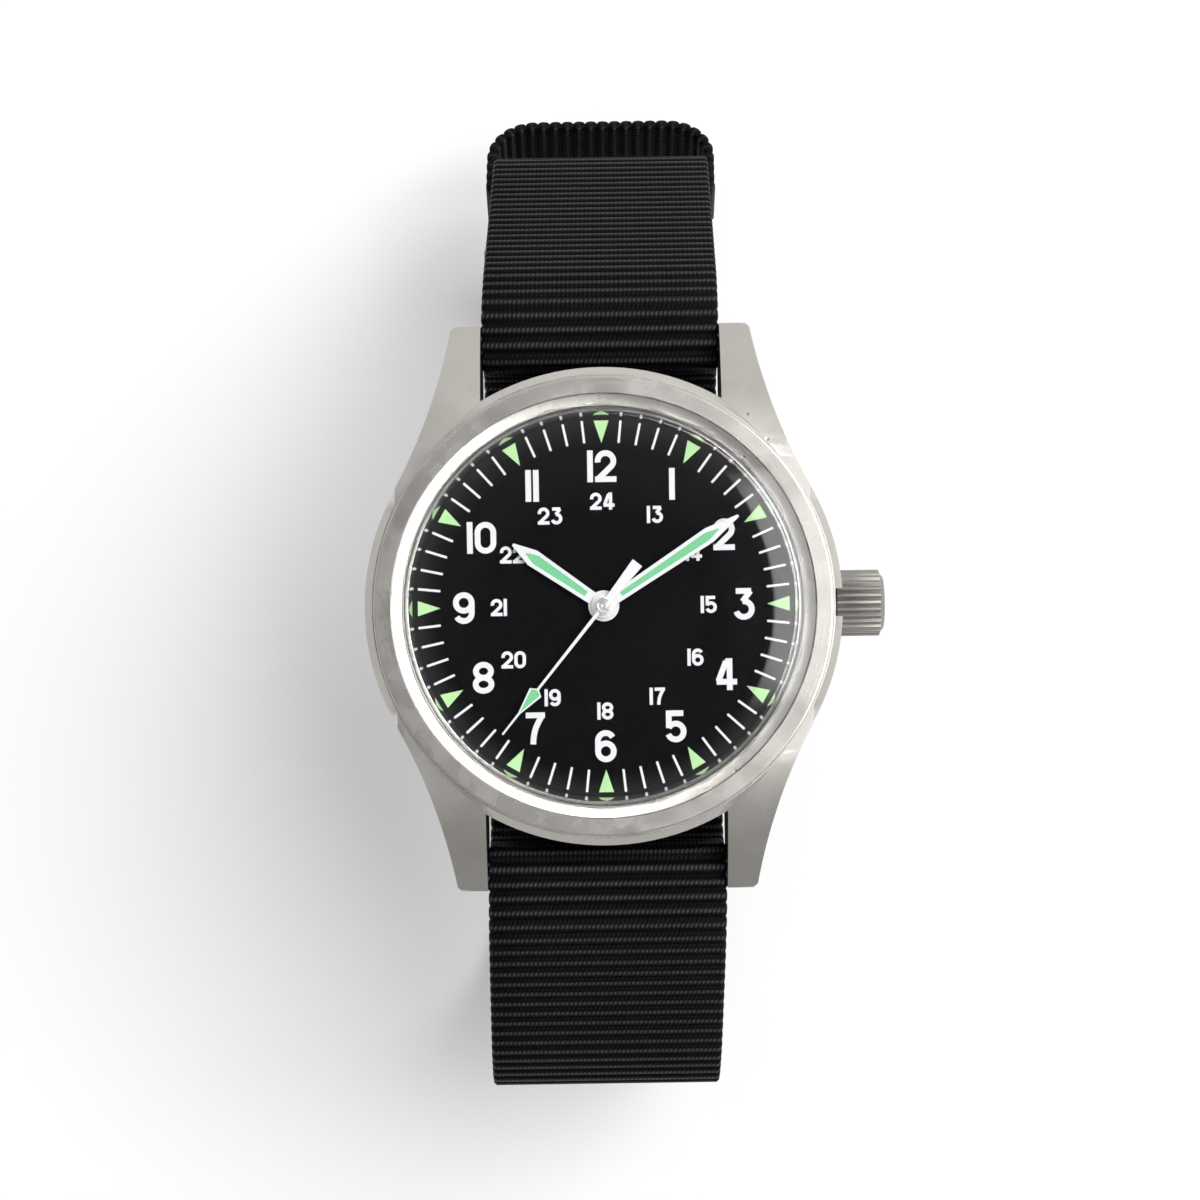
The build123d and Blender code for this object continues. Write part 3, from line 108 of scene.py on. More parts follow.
# Node helpers
class Shader:
    """A material's node tree, with a Principled shader at its end."""

    def __init__(self, name="", colour=(0, 0, 0), metallic=0.0, roughness=0.5, tree=None):
        if tree:
            self.tree = tree
            return
        self.material = bpy.data.materials.new(name)
        self.material.use_nodes = True
        self.tree = self.material.node_tree
        self.main = self.tree.nodes["Principled BSDF"]
        self.main.inputs["Base Color"].default_value = (*colour, 1)
        self.main.inputs["Metallic"].default_value = metallic
        self.main.inputs["Roughness"].default_value = roughness

    def node(self, kind, **values):
        made = self.tree.nodes.new(kind)
        for key, value in values.items():
            if key in made.inputs:
                made.inputs[key].default_value = value
            else:
                setattr(made, key, value)
        return made

    def link(self, out, into):
        self.tree.links.new(out, into)

    def coords(self, kind="Object"):
        return self.node("ShaderNodeTexCoord").outputs[kind]

    def maths(self, operation, a, b=None):
        made = self.node("ShaderNodeMath", operation=operation)
        for k, value in enumerate((a, b)):
            if value is None:
                continue
            if isinstance(value, (int, float)):
                made.inputs[k].default_value = value
            else:
                self.link(value, made.inputs[k])
        return made.outputs[0]

    def noise(self, vector, scale, detail=2.0, roughness=0.5):
        made = self.node("ShaderNodeTexNoise", Scale=scale, Detail=detail, Roughness=roughness)
        self.link(vector, made.inputs["Vector"])
        return made.outputs["Fac"]

    def ramp(self, value, low, high, out_low=0.0, out_high=1.0):
        made = self.node("ShaderNodeMapRange")
        for key, number in (("From Min", low), ("From Max", high), ("To Min", out_low), ("To Max", out_high)):
            made.inputs[key].default_value = number
        self.link(value, made.inputs["Value"])
        return made.outputs["Result"]

    def spread(self, noise, out_low=0.0, out_high=1.0):
        """The span in which most of a noise lies, stretched to two other values."""
        return self.ramp(noise, 0.3, 0.7, out_low, out_high)

    def mix(self, share, a, b):
        made = self.node("ShaderNodeMix", data_type="RGBA")
        self.link(share, made.inputs["Factor"])
        for name, colour in (("A", a), ("B", b)):
            socket = [s for s in made.inputs if s.name == name and s.type == "RGBA"][0]
            if isinstance(colour, tuple):
                socket.default_value = (*colour, 1)
            else:
                self.link(colour, socket)
        return [s for s in made.outputs if s.type == "RGBA"][0]

    def bump(self, height, strength, distance):
        made = self.node("ShaderNodeBump", Strength=strength, Distance=distance)
        self.link(height, made.inputs["Height"])
        if self.main.inputs["Normal"].is_linked:
            self.link(self.main.inputs["Normal"].links[0].from_socket, made.inputs["Normal"])
        self.link(made.outputs["Normal"], self.main.inputs["Normal"])


def shade(colour, factor):
    return tuple(c * factor for c in colour)


# Materials
def blasted_steel(name, colour, roughness):
    """Fine blasted satin steel with a slow change of tone and a few nicks."""
    s = Shader(name, colour, 1.0, roughness)
    where = s.coords()
    grain = s.noise(where, 1 / STEEL_GRAIN, 3.0, 0.6)
    cloud = s.noise(where, 1 / STEEL_CLOUD, 2.0)
    spots = s.node("ShaderNodeTexVoronoi", Scale=1 / NICK_SPACING, feature="F1")
    s.link(where, spots.inputs["Vector"])
    nick = s.ramp(spots.outputs["Distance"], 0.035, 0.06)
    tone = s.mix(s.spread(cloud), shade(colour, 0.94), shade(colour, 1.04))
    s.link(s.mix(nick, shade(colour, 0.35), tone), s.main.inputs["Base Color"])
    s.link(s.spread(cloud, roughness - 0.03, roughness + 0.04), s.main.inputs["Roughness"])
    s.bump(grain, 0.2, 0.012 * MM)
    s.bump(nick, 0.5, 0.02 * MM)
    return s.material


def ring_brushed_steel(name, colour, roughness):
    """Steel brushed in circles about the dial's axis."""
    s = Shader(name, colour, 1.0, roughness)
    where = s.coords()
    split = s.node("ShaderNodeSeparateXYZ")
    s.link(where, split.inputs[0])
    x, y = split.outputs["X"], split.outputs["Y"]
    radius = s.maths("SQRT", s.maths("ADD", s.maths("MULTIPLY", x, x), s.maths("MULTIPLY", y, y)))
    lines = s.node("ShaderNodeCombineXYZ")
    s.link(s.maths("MULTIPLY", radius, 1 / BRUSH_LINE), lines.inputs["X"])
    s.link(s.maths("MULTIPLY", s.maths("ARCTAN2", y, x), 3.0), lines.inputs["Y"])
    s.link(s.maths("MULTIPLY", split.outputs["Z"], 1 / BRUSH_HEIGHT), lines.inputs["Z"])
    brush = s.noise(lines.outputs[0], 1.0, 3.0, 0.6)
    cloud = s.noise(where, 1 / BRUSH_CLOUD, 2.0)
    tone = s.mix(s.spread(brush), shade(colour, 0.9), shade(colour, 1.05))
    s.link(tone, s.main.inputs["Base Color"])
    s.link(s.spread(cloud, roughness - 0.03, roughness + 0.05), s.main.inputs["Roughness"])
    s.bump(brush, 0.25, 0.008 * MM)
    return s.material


def polished_metal(name, colour, roughness, scale_mm=1.5):
    s = Shader(name, colour, 1.0, roughness)
    cloud = s.noise(s.coords(), 1 / (scale_mm * MM), 3.0)
    tone = s.mix(s.spread(cloud), shade(colour, 0.93), shade(colour, 1.03))
    s.link(tone, s.main.inputs["Base Color"])
    s.link(s.spread(cloud, roughness, roughness + 0.06), s.main.inputs["Roughness"])
    return s.material


def paint(name, colour, roughness, grain_mm, grain=0.25, spread=0.06, gloss=0.3):
    """Printed or sprayed paint with a fine grain."""
    s = Shader(name, colour, 0.0, roughness)
    s.main.inputs["Specular IOR Level"].default_value = gloss
    where = s.coords()
    fine = s.noise(where, 1 / (grain_mm * MM), 2.0, 0.6)
    tone = s.mix(s.spread(fine), shade(colour, 1 - spread), shade(colour, 1 + spread))
    s.link(tone, s.main.inputs["Base Color"])
    s.bump(fine, grain, 0.01 * MM)
    return s.material


def crystal_glass():
    """Clear glass that lets the lamps' light through to the dial."""
    s = Shader("crystal_glass", (1, 1, 1), 0.0, 0.0)
    s.main.inputs["Transmission Weight"].default_value = 1.0
    s.main.inputs["IOR"].default_value = CRYSTAL_IOR
    rays = s.node("ShaderNodeLightPath")
    clear = s.node("ShaderNodeBsdfTransparent")
    mixer = s.node("ShaderNodeMixShader")
    let_through = s.maths("MAXIMUM", rays.outputs["Is Shadow Ray"], rays.outputs["Is Diffuse Ray"])
    s.link(let_through, mixer.inputs["Fac"])
    s.link(s.main.outputs[0], mixer.inputs[1])
    s.link(clear.outputs[0], mixer.inputs[2])
    s.link(mixer.outputs[0], s.tree.nodes["Material Output"].inputs["Surface"])
    return s.material


def webbing_nylon():
    """Black nylon: each rib is a cord of twisted yarn, laid along the map named flat. Each rib's crest
    carries a painted highlight, a lighter colour broken by the yarn's twist.
    """
    s = Shader("webbing_nylon", NYLON, 0.0, 0.5)
    flat = s.node("ShaderNodeUVMap", uv_map="flat").outputs[0]
    split = s.node("ShaderNodeSeparateXYZ")
    s.link(flat, split.inputs[0])
    across, along = split.outputs["X"], split.outputs["Y"]
    place = s.maths("FRACT", along)
    lean = s.maths("MULTIPLY", place, 0.9)
    from_crest = s.maths("ABSOLUTE", s.maths("SUBTRACT", place, 0.5))
    painted_crest_band = s.ramp(from_crest, 0.2, 0.05)
    turns = s.maths("ADD", s.maths("MULTIPLY", across, 1 / YARN_PITCH), lean)
    twist = s.maths("SINE", s.maths("MULTIPLY", turns, 2 * pi))
    jitter = s.noise(flat, 2.6, 2.0)
    strand = s.maths("ADD", s.maths("MULTIPLY", twist, 0.5), s.maths("MULTIPLY", jitter, 0.9))
    fibre = s.noise(flat, 30.0, 2.0)
    painted_glint = s.maths("MULTIPLY", s.ramp(strand, 0.3, 0.9, 0.2, 1.0), s.spread(fibre, 0.4, 1.0))
    # Painted highlight: the base colour is lightened in a narrow band along each rib's crest, brighter where
    # the twisted yarn rises
    s.link(s.mix(s.maths("MULTIPLY", painted_glint, painted_crest_band), NYLON, NYLON_PAINTED_GLINT), s.main.inputs["Base Color"])
    s.main.inputs["Specular IOR Level"].default_value = NYLON_GLOSS
    s.bump(strand, 0.5, 0.07 * MM)
    s.bump(fibre, 0.3, 0.02 * MM)
    return s.material


MATERIALS = {
    "case_steel": blasted_steel("case_steel", STEEL, 0.27),
    "bezel_steel": ring_brushed_steel("bezel_steel", BEZEL_STEEL, 0.25),
    "polished_steel": polished_metal("polished_steel", POLISHED, 0.1),
    "crystal": crystal_glass(),
    "rubber": paint("rubber", RUBBER, 0.6, 0.3),
    "dial_black": paint("dial_black", BLACK_PAINT, 0.5, 0.06, 0.12, 0.12, 0.03),
    "hand_white": paint("hand_white", WHITE_PAINT, 0.45, 0.12, 0.15, 0.03),
    "lume": paint("lume", LUME_HAND, 0.75, 0.1, 0.5, 0.07),
    "movement_brass": polished_metal("movement_brass", BRASS, 0.25, 0.6),
    "bridge_nickel": polished_metal("bridge_nickel", NICKEL, 0.3, 0.5),
    "ruby": polished_metal("ruby", RUBY, 0.08),
    "nylon": webbing_nylon(),
}
# Painted shade: the crown is the case's steel at 0.55 of its colour, darker for the dim light on its faces
SHADED_CROWN_STEEL = blasted_steel("crown_steel_painted_shade", shade(STEEL, 0.55), 0.45)
MARKER_LUME = paint("marker_lume", LUME_MARKER, 0.75, 0.1, 0.5, 0.05)


def dress_frame():
    """Give each node of the frame its slot's material, and round the edges that show."""
    for part in frame["record"]["subparts"]:
        node = nodes[part["node"]]
        node.data.materials.clear()
        node.data.materials.append(MATERIALS[part["material_slot"]])
    # The crown takes this painted-shade copy of the case steel in place of its slot's material
    nodes["crown"].data.materials[0] = SHADED_CROWN_STEEL
    for name, width in SOFT_EDGES.items():
        soften(name, width * MM)


# Smooth round pieces
LATHE_STEPS = 240
HOLD = 0.03 * MM  # from a round to the loop that keeps the flat beside it flat
CRYSTAL_T, CRYSTAL_SKIRT, CRYSTAL_INNER_ROUND = 1.3 * MM, 0.88 * MM, 0.7 * MM
CRYSTAL_EDGE_DROP = 0.55 * MM  # from the crystal's top to its rim
CRYSTAL_POWER = 12.0
BEZEL_ROUND = 0.16 * MM
RING_ROUND, RING_SLOPE = 0.1 * MM, 0.63 * MM
SEAT_T, SEAT_GAP = 0.15 * MM, 0.005 * MM
DOME_STEPS, BEND_STEPS, HUB_STEPS = 40, 12, 64
SHARP_ANGLE = radians(35)
# Corners of the hub in millimetres: radius, height over the hand, round
HUB_PROFILE = ((0.0, 0.0, 0.0), (0.6, 0.0, 0.0), (0.6, 0.1, 0.04), (0.44, 0.1, 0.03), (0.4, 0.05, 0.0),
               (0.3, 0.05, 0.0), (0.26, 0.12, 0.03), (0.1, 0.12, 0.0), (0.08, 0.04, 0.0), (0.0, 0.04, 0.0))
# Widths of the rounded edges in millimetres
SOFT_EDGES = {"case_middle": 0.16, "crown": 0.07, "case_back": 0.15, "buckle_frame": 0.2,
              "buckle_tongue": 0.12, "hour_hand": 0.02, "minute_hand": 0.02, "seconds_hand": 0.02}
EDGE_STEPS, EDGE_ANGLE = 3, radians(28)
FLAT_ANGLE = radians(0.5)
WELD_GAP = 0.002 * MM


def ring_radii(node):
    """The least and the greatest radius of a ring round the dial's axis."""
    radii = [hypot(v.co.x, v.co.y) for v in nodes[node].data.vertices]
    return min(radii), max(radii)


def rounded(corners, steps=5):
    """A closed outline from corners (x, y, radius), with a holding point at both ends of each round."""
    points, count = [], len(corners)
    for k, (x, y, radius) in enumerate(corners):
        here = Vector((x, y))
        if not radius:
            points.append(here)
            continue
        before, after = Vector(corners[k - 1][:2]) - here, Vector(corners[(k + 1) % count][:2]) - here
        before.normalize()
        after.normalize()
        half = acos(max(-1.0, min(1.0, before.dot(after)))) / 2
        run = radius / tan(half)
        centre = here + (before + after).normalized() * radius / sin(half)
        start, end = here + before * run - centre, here + after * run - centre
        angle = atan2(start.y, start.x)
        swing = remainder(atan2(end.y, end.x) - angle, 2 * pi)
        points.append(here + before * (run + HOLD))
        for j in range(steps + 1):
            a = angle + swing * j / steps
            points.append(centre + Vector((radius * cos(a), radius * sin(a))))
        points.append(here + after * (run + HOLD))
    return points


def lathe(name, outline, material, body="case", steps=LATHE_STEPS):
    """A solid turned about an upright axis from a closed outline of (radius, Z) points."""
    bm = bmesh.new()
    rings = []
    for k in range(steps):
        c, s = cos(2 * pi * k / steps), sin(2 * pi * k / steps)
        rings.append([bm.verts.new((r * c, r * s, z)) for r, z in outline])
    size = len(outline)
    for a, b in zip(rings, rings[1:] + rings[:1]):
        for j in range(size):
            i = (j + 1) % size
            if outline[j][0] > 0 or outline[i][0] > 0:
                bm.faces.new((a[j], a[i], b[i], b[j]))
    bmesh.ops.remove_doubles(bm, verts=bm.verts, dist=0.001 * MM)
    bmesh.ops.recalc_face_normals(bm, faces=bm.faces)
    piece = add_piece(name, bm, material, body, smooth=True)
    piece.data.set_sharp_from_angle(angle=SHARP_ANGLE)
    return piece


def make_bezel():
    inner, outer = ring_radii("bezel")
    low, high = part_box("bezel")[0].z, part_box("bezel")[1].z
    corners = [(inner, low, 0), (outer, low, 0), (outer, high, BEZEL_ROUND), (inner, high, BEZEL_ROUND / 3)]
    outline = rounded(corners)
    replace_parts(lathe("bezel_ring", outline, MATERIALS["bezel_steel"]), "bezel")


def make_crystal():
    """A window that is nearly flat in its middle and rounds over to an upright rim."""
    outer = ring_radii("crystal")[1]
    foot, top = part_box("crystal")[0].z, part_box("crystal")[1].z
    dome = []
    for k in range(DOME_STEPS + 1):
        u = sin(pi / 2 * k / DOME_STEPS)
        dome.append((outer * u, top - CRYSTAL_EDGE_DROP * u**CRYSTAL_POWER))
    skirt, under, bend = outer - CRYSTAL_SKIRT, top - CRYSTAL_T, CRYSTAL_INNER_ROUND
    inside = [(skirt - bend * (1 - cos(a)), under - bend * (1 - sin(a)))
              for a in (pi / 2 * k / BEND_STEPS for k in range(BEND_STEPS + 1))]
    outline = dome + [(outer, foot), (skirt, foot)] + inside + [(0.0, under)]
    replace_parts(lathe("crystal_window", outline, MATERIALS["crystal"]), "crystal")


def make_seat():
    """The turned seat under the crystal's skirt, between the dial's edge and the bezel's wall."""
    inner, outer = ring_radii("tension_ring")[1], ring_radii("crystal")[1]
    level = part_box("crystal")[0].z
    low = level - SEAT_T
    outline = [(inner, low), (outer, low), (outer, level - SEAT_GAP), (inner, level - SEAT_GAP)]
    lathe("crystal_seat", outline, MATERIALS["bezel_steel"])


def make_tension_ring():
    inner, outer = ring_radii("tension_ring")
    low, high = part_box("tension_ring")[0].z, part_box("tension_ring")[1].z
    corners = [(inner, low, 0), (outer, low, 0), (outer, high, 0), (inner + RING_SLOPE, high, RING_ROUND)]
    outline = rounded(corners)
    ring = lathe("mirror_ring", outline, polished_metal("ring_mirror", POLISHED, 0.02))
    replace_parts(ring, "tension_ring")


def make_hub():
    """The turned cap over the middle of the seconds hand."""
    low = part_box("seconds_hand")[1].z
    outline = rounded([(r * MM, low + rise * MM, bend * MM) for r, rise, bend in HUB_PROFILE])
    steel = polished_metal("hub_steel", POLISHED, 0.22)
    lathe("seconds_hub", outline, steel, "seconds", steps=HUB_STEPS)


def soften(node, width):
    """Round a CAD node's edges, by modifiers that leave its own mesh as it is."""
    piece = nodes[node]
    piece.modifiers.new("join", "WELD").merge_threshold = WELD_GAP
    flatten = piece.modifiers.new("flatten", "DECIMATE")
    flatten.decimate_type = "DISSOLVE"
    flatten.angle_limit = FLAT_ANGLE
    bevel = piece.modifiers.new("edges", "BEVEL")
    bevel.width = width
    bevel.segments = EDGE_STEPS
    bevel.limit_method = "ANGLE"
    bevel.angle_limit = EDGE_ANGLE
    piece.modifiers.new("even", "WEIGHTED_NORMAL").keep_sharp = True
    piece.data.polygons.foreach_set("use_smooth", [True] * len(piece.data.polygons))


# Mesh helpers
def add_piece(name, bm, material, body="case", smooth=False):
    mesh = bpy.data.meshes.new(name)
    bm.to_mesh(mesh)
    bm.free()
    piece = bpy.data.objects.new(name, mesh)
    scene.collection.objects.link(piece)
    mesh.materials.append(material)
    if smooth:
        mesh.polygons.foreach_set("use_smooth", [True] * len(mesh.polygons))
    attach(piece, body)
    return piece


def raise_face(bm, outline, low, high):
    """A thin printed patch: an outline in X and Y, raised between two levels of Z."""
    rings = [[bm.verts.new((x, y, z)) for x, y in outline] for z in (low, high)]
    bm.faces.new(rings[1])
    bm.faces.new(reversed(rings[0]))
    count = len(outline)
    for k in range(count):
        j = (k + 1) % count
        bm.faces.new((rings[0][k], rings[0][j], rings[1][j], rings[1][k]))


def polar(radius, clock_deg):
    """X and Y at a clockwise angle from 12 o'clock."""
    a = radians(clock_deg)
    return radius * sin(a), radius * cos(a)


# Printed dial
PRINT_T = 0.03 * MM
PRINT_SINK = 0.01 * MM
HOUR_NUMERAL_R = 10.6 * MM
HOUR_NUMERAL_H = 2.4 * MM
HOUR_STROKE = 0.43 * MM
DAY_NUMERAL_R = 7.95 * MM
DAY_NUMERAL_H = 1.3 * MM
DAY_STROKE = 0.25 * MM
GLYPH_ASPECT = 0.604  # width over height of a numeral's centreline
GLYPH_GAP_SHARE = 0.36  # space between two numerals, in strokes
TICK_INNER_R, TICK_OUTER_R = 12.4 * MM, 14.0 * MM
TICK_WIDTH = 0.18 * MM
MARKER_BASE_R, MARKER_TIP_R = 13.95 * MM, 12.35 * MM
MARKER_WIDTH = 1.13 * MM
MINUTES, HOURS = 60, 12
MINUTE_DEG, HOUR_DEG = 6, 30
LAYER_RISE = 0.05  # of the print's thickness, from one stroke of a numeral to the next
ARC_STEP = radians(12)


def arc(cx, cy, rx, ry, start, end):
    """Points of an elliptic arc from one angle to another, in degrees, either way round."""
    a, b = radians(start), radians(end)
    count = max(2, round(abs(b - a) / ARC_STEP))
    steps = [a + (b - a) * k / count for k in range(count + 1)]
    return [(cx + rx * cos(t), cy + ry * sin(t)) for t in steps]


def glyph(digit, w, h, s):
    """Centrelines of a digit's strokes in a box w by h, for strokes s wide: (points, closed)."""
    r, half = w / 2, s / 2
    bowl = arc(r, r, r, r, 0, 360)[:-1]
    lines = {
        "0": [(arc(r, h - r, r, r, 180, 0) + arc(r, r, r, r, 0, -180), True)],
        "1": [([(half, -half), (half, h + half)], False)],
        "2": [(arc(r, h - r, r, r, 190, -38) + [(0, 0)], False), ([(-half, 0), (w + half, 0)], False)],
        "3": [([(0, h), (w * 0.97, h)], False), ([(w * 0.93, h), (w * 0.42, w * 0.98)], False),
              (arc(r, r, r, r, 100, -162), False)],
        "4": [([(w * 0.5, h), (0, h * 0.23)], False), ([(w * 0.46, h), (w * 0.72, h)], False),
              ([(-half * 0.6, h * 0.21), (w + half, h * 0.21)], False),
              ([(w * 0.72, h + half), (w * 0.72, -half)], False)],
        "5": [([(w, h), (w * 0.07, h), (w * 0.07, w * 0.72)], False), (arc(r, r, r, r, 152, -160), False)],
        "6": [(bowl, True), (arc(r, h - r, r, r, 28, 180) + [(0, r)], False)],
        "7": [([(-half * 0.6, h), (w + half * 0.6, h)], False),
              ([(w * 0.93, h)] + arc(w * 1.33, -half, w * 0.98, h + half, 132, 180), False)],
        "8": [(arc(r, h * 0.75, r * 0.95, h / 4, 0, 360)[:-1], True),
              (arc(r, h / 4, r, h / 4, 0, 360)[:-1], True)],
    }
    if digit == "9":
        return [([(w - x, h - y) for x, y in points], closed) for points, closed in lines["6"]]
    return lines[digit]


def stroke_outlines(points, closed, s):
    """The left and right points of a strip s wide along a centreline, mitred where it bends."""
    count = len(points)
    sides = []
    for k, (x, y) in enumerate(points):
        before = points[k - 1] if closed or k else None
        after = points[(k + 1) % count] if closed or k < count - 1 else None
        dirs = []
        for a, b in ((before, (x, y)), ((x, y), after)):
            if a and b:
                length = hypot(b[0] - a[0], b[1] - a[1])
                dirs.append(((b[0] - a[0]) / length, (b[1] - a[1]) / length))
        dx = sum(d[0] for d in dirs) / len(dirs)
        dy = sum(d[1] for d in dirs) / len(dirs)
        grow = s / 2 / (dx * dx + dy * dy)
        sides.append(((x - dy * grow, y + dx * grow), (x + dy * grow, y - dx * grow)))
    return sides


def print_stroke(bm, points, closed, s, place, low, high):
    sides = stroke_outlines(points, closed, s)
    rings = []
    for left, right in sides:
        row = [(left, high), (right, high), (right, low), (left, low)]
        rings.append([bm.verts.new((*place(p), z)) for p, z in row])
    pairs = list(zip(rings, rings[1:] + rings[:1])) if closed else list(zip(rings, rings[1:]))
    for a, b in pairs:
        for k in range(4):
            j = (k + 1) % 4
            bm.faces.new((a[k], a[j], b[j], b[k]))
    if not closed:
        bm.faces.new(rings[0])
        bm.faces.new(reversed(rings[-1]))


def numeral_ring(name, first, radius, height, stroke):
    """Twelve upright numerals round the dial, from first at 1 o'clock on."""
    bm = bmesh.new()
    h = height - stroke
    w = h * GLYPH_ASPECT
    for hour in range(1, HOURS + 1):
        digits = str(first + hour - 1)
        widths = [stroke if d == "1" else w + stroke for d in digits]
        total = sum(widths) + GLYPH_GAP_SHARE * stroke * (len(digits) - 1)
        cx, cy = polar(radius, hour * HOUR_DEG)
        left = cx - total / 2
        layer = 0
        for digit, width in zip(digits, widths):
            origin = left if digit == "1" else left + stroke / 2

            def place(p):
                return origin + p[0], cy - h / 2 + p[1]

            for points, closed in glyph(digit, w, h, stroke):
                top = dial_top + PRINT_T * (1 + LAYER_RISE * layer)
                print_stroke(bm, points, closed, stroke, place, dial_top - PRINT_SINK, top)
                layer += 1
            left += width + GLYPH_GAP_SHARE * stroke
    bmesh.ops.recalc_face_normals(bm, faces=bm.faces)
    add_piece(name, bm, MATERIALS["hand_white"])


def minute_track():
    bm = bmesh.new()
    for minute in range(MINUTES):
        if minute % 5 == 0:
            continue
        angle = minute * MINUTE_DEG
        (x0, y0), (x1, y1) = polar(TICK_INNER_R, angle), polar(TICK_OUTER_R, angle)
        sx, sy = polar(TICK_WIDTH / 2, angle + 90)
        outline = [(x0 - sx, y0 - sy), (x0 + sx, y0 + sy), (x1 + sx, y1 + sy), (x1 - sx, y1 - sy)]
        raise_face(bm, outline, dial_top - PRINT_SINK, dial_top + PRINT_T)
    bmesh.ops.recalc_face_normals(bm, faces=bm.faces)
    add_piece("minute_track", bm, MATERIALS["hand_white"])


def hour_markers():
    """Lumed triangles that point to the middle."""
    bm = bmesh.new()
    for hour in range(HOURS):
        angle = hour * HOUR_DEG
        x0, y0 = polar(MARKER_BASE_R, angle)
        sx, sy = polar(MARKER_WIDTH / 2, angle + 90)
        tip = polar(MARKER_TIP_R, angle)
        raise_face(bm, [(x0 - sx, y0 - sy), tip, (x0 + sx, y0 + sy)],
                   dial_top - PRINT_SINK, dial_top + 2 * PRINT_T)
    bmesh.ops.recalc_face_normals(bm, faces=bm.faces)
    add_piece("hour_markers", bm, MARKER_LUME)


# Webbing
RIB_PITCH = 1.04 * MM
RIB_STEPS = 8
RIB_DEPTH_SHARE = 0.5  # how far a groove sinks, of half the webbing's thickness
SCALLOP = 0.1 * MM
WEB_SPREAD = 0.2 * MM  # the webbing's soft edges lie against the lugs
RIB_POWER = 2.2  # of the curve across a rib: a larger one makes its top flatter
WEB_COLUMNS = 6
SHOULDER_SHARE, INSET_SHARE, SIDE_SHARE = 0.45, 0.12, 0.7  # of the rounding at the webbing's two edges
STRAP_T, KEEPER_T = 1.2 * MM, 0.9 * MM
STRAP_DRIFT_SHARE = 0.02
DRIFT_START = 22.0 * MM
KEEPER_SPREAD_SHARE = 1.09
FACE_TOL, POINT_STEP = 0.003 * MM, 0.001 * MM
SIDE_REACH, MIDDLE_REACH, KEEPER_REACH = 4, 3, 5  # points each way that a mean takes in


def face_outline(node, axis):
    """The closed outlines of the node's flat face at its far end along axis, each in order."""
    mesh = nodes[node].data
    level = max(v.co.dot(axis) for v in mesh.vertices)
    edge_count, at = {}, {}
    for polygon in mesh.polygons:
        corners = [mesh.vertices[k].co for k in polygon.vertices]
        if any(abs(c.dot(axis) - level) > FACE_TOL for c in corners):
            continue
        keys = [tuple(round(value / POINT_STEP) for value in c) for c in corners]
        for key, corner in zip(keys, corners):
            at[key] = corner.copy()
        for a, b in zip(keys, keys[1:] + keys[:1]):
            if a != b:
                pair = frozenset((a, b))
                edge_count[pair] = edge_count.get(pair, 0) + 1
    border = {}
    for pair, count in edge_count.items():
        if count == 1:
            a, b = pair
            border.setdefault(a, []).append(b)
            border.setdefault(b, []).append(a)
    loops, left = [], set(border)
    while left:
        start = here = min(left)
        before, loop = None, []
        while True:
            loop.append(at[here])
            left.discard(here)
            onward = [k for k in border[here] if k != before]
            before, here = here, onward[0]
            if here == start or here not in left:
                break
        loops.append(loop)
    return loops


def resample(points, step, closed):
    """Points at an even step along a polyline, about step apart."""
    ring = points + points[:1] if closed else points
    lengths = [0.0]
    for a, b in zip(ring, ring[1:]):
        lengths.append(lengths[-1] + (b - a).length)
    count = max(2, round(lengths[-1] / step))
    made, k = [], 0
    for i in range(count if closed else count + 1):
        want = lengths[-1] * i / count
        while k < len(lengths) - 2 and lengths[k + 1] < want:
            k += 1
        span = lengths[k + 1] - lengths[k]
        made.append(ring[k].lerp(ring[k + 1], (want - lengths[k]) / span if span else 0))
    return made


def smoothed(points, reach, closed):
    """A moving mean over reach points each way."""
    count, made = len(points), []
    for k in range(count):
        near = range(k - reach, k + reach + 1)
        if closed:
            made.append(sum((points[j % count] for j in near), Vector()) / len(near))
        else:
            room = min(reach, k, count - 1 - k)
            near = range(k - room, k + room + 1)
            made.append(sum((points[j] for j in near), Vector()) / len(near))
    return made


def tangents(points, closed):
    count = len(points)
    made = []
    for k in range(count):
        a = points[(k - 1) % count] if closed else points[max(k - 1, 0)]
        b = points[(k + 1) % count] if closed else points[min(k + 1, count - 1)]
        made.append((b - a).normalized())
    return made


def strip_sides(loop, thickness):
    """The two long sides of an open strip's outline, cut at its two square ends."""
    count = len(loop)
    heads = [(loop[(k + 1) % count] - loop[k]) for k in range(count)]
    ends = []
    for k in range(count):
        if abs(heads[k].length - thickness) > 0.05 * thickness:
            continue
        before, after = heads[k - 1].normalized(), heads[(k + 1) % count].normalized()
        if abs(before.dot(heads[k].normalized())) < 0.1 and before.dot(after) < -0.9:
            ends.append(k)
    first, second = ends[0], ends[1]
    one = [loop[k % count] for k in range(first + 1, second + 1)]
    other = [loop[k % count] for k in range(second + 1, first + count + 1)]
    return one, other


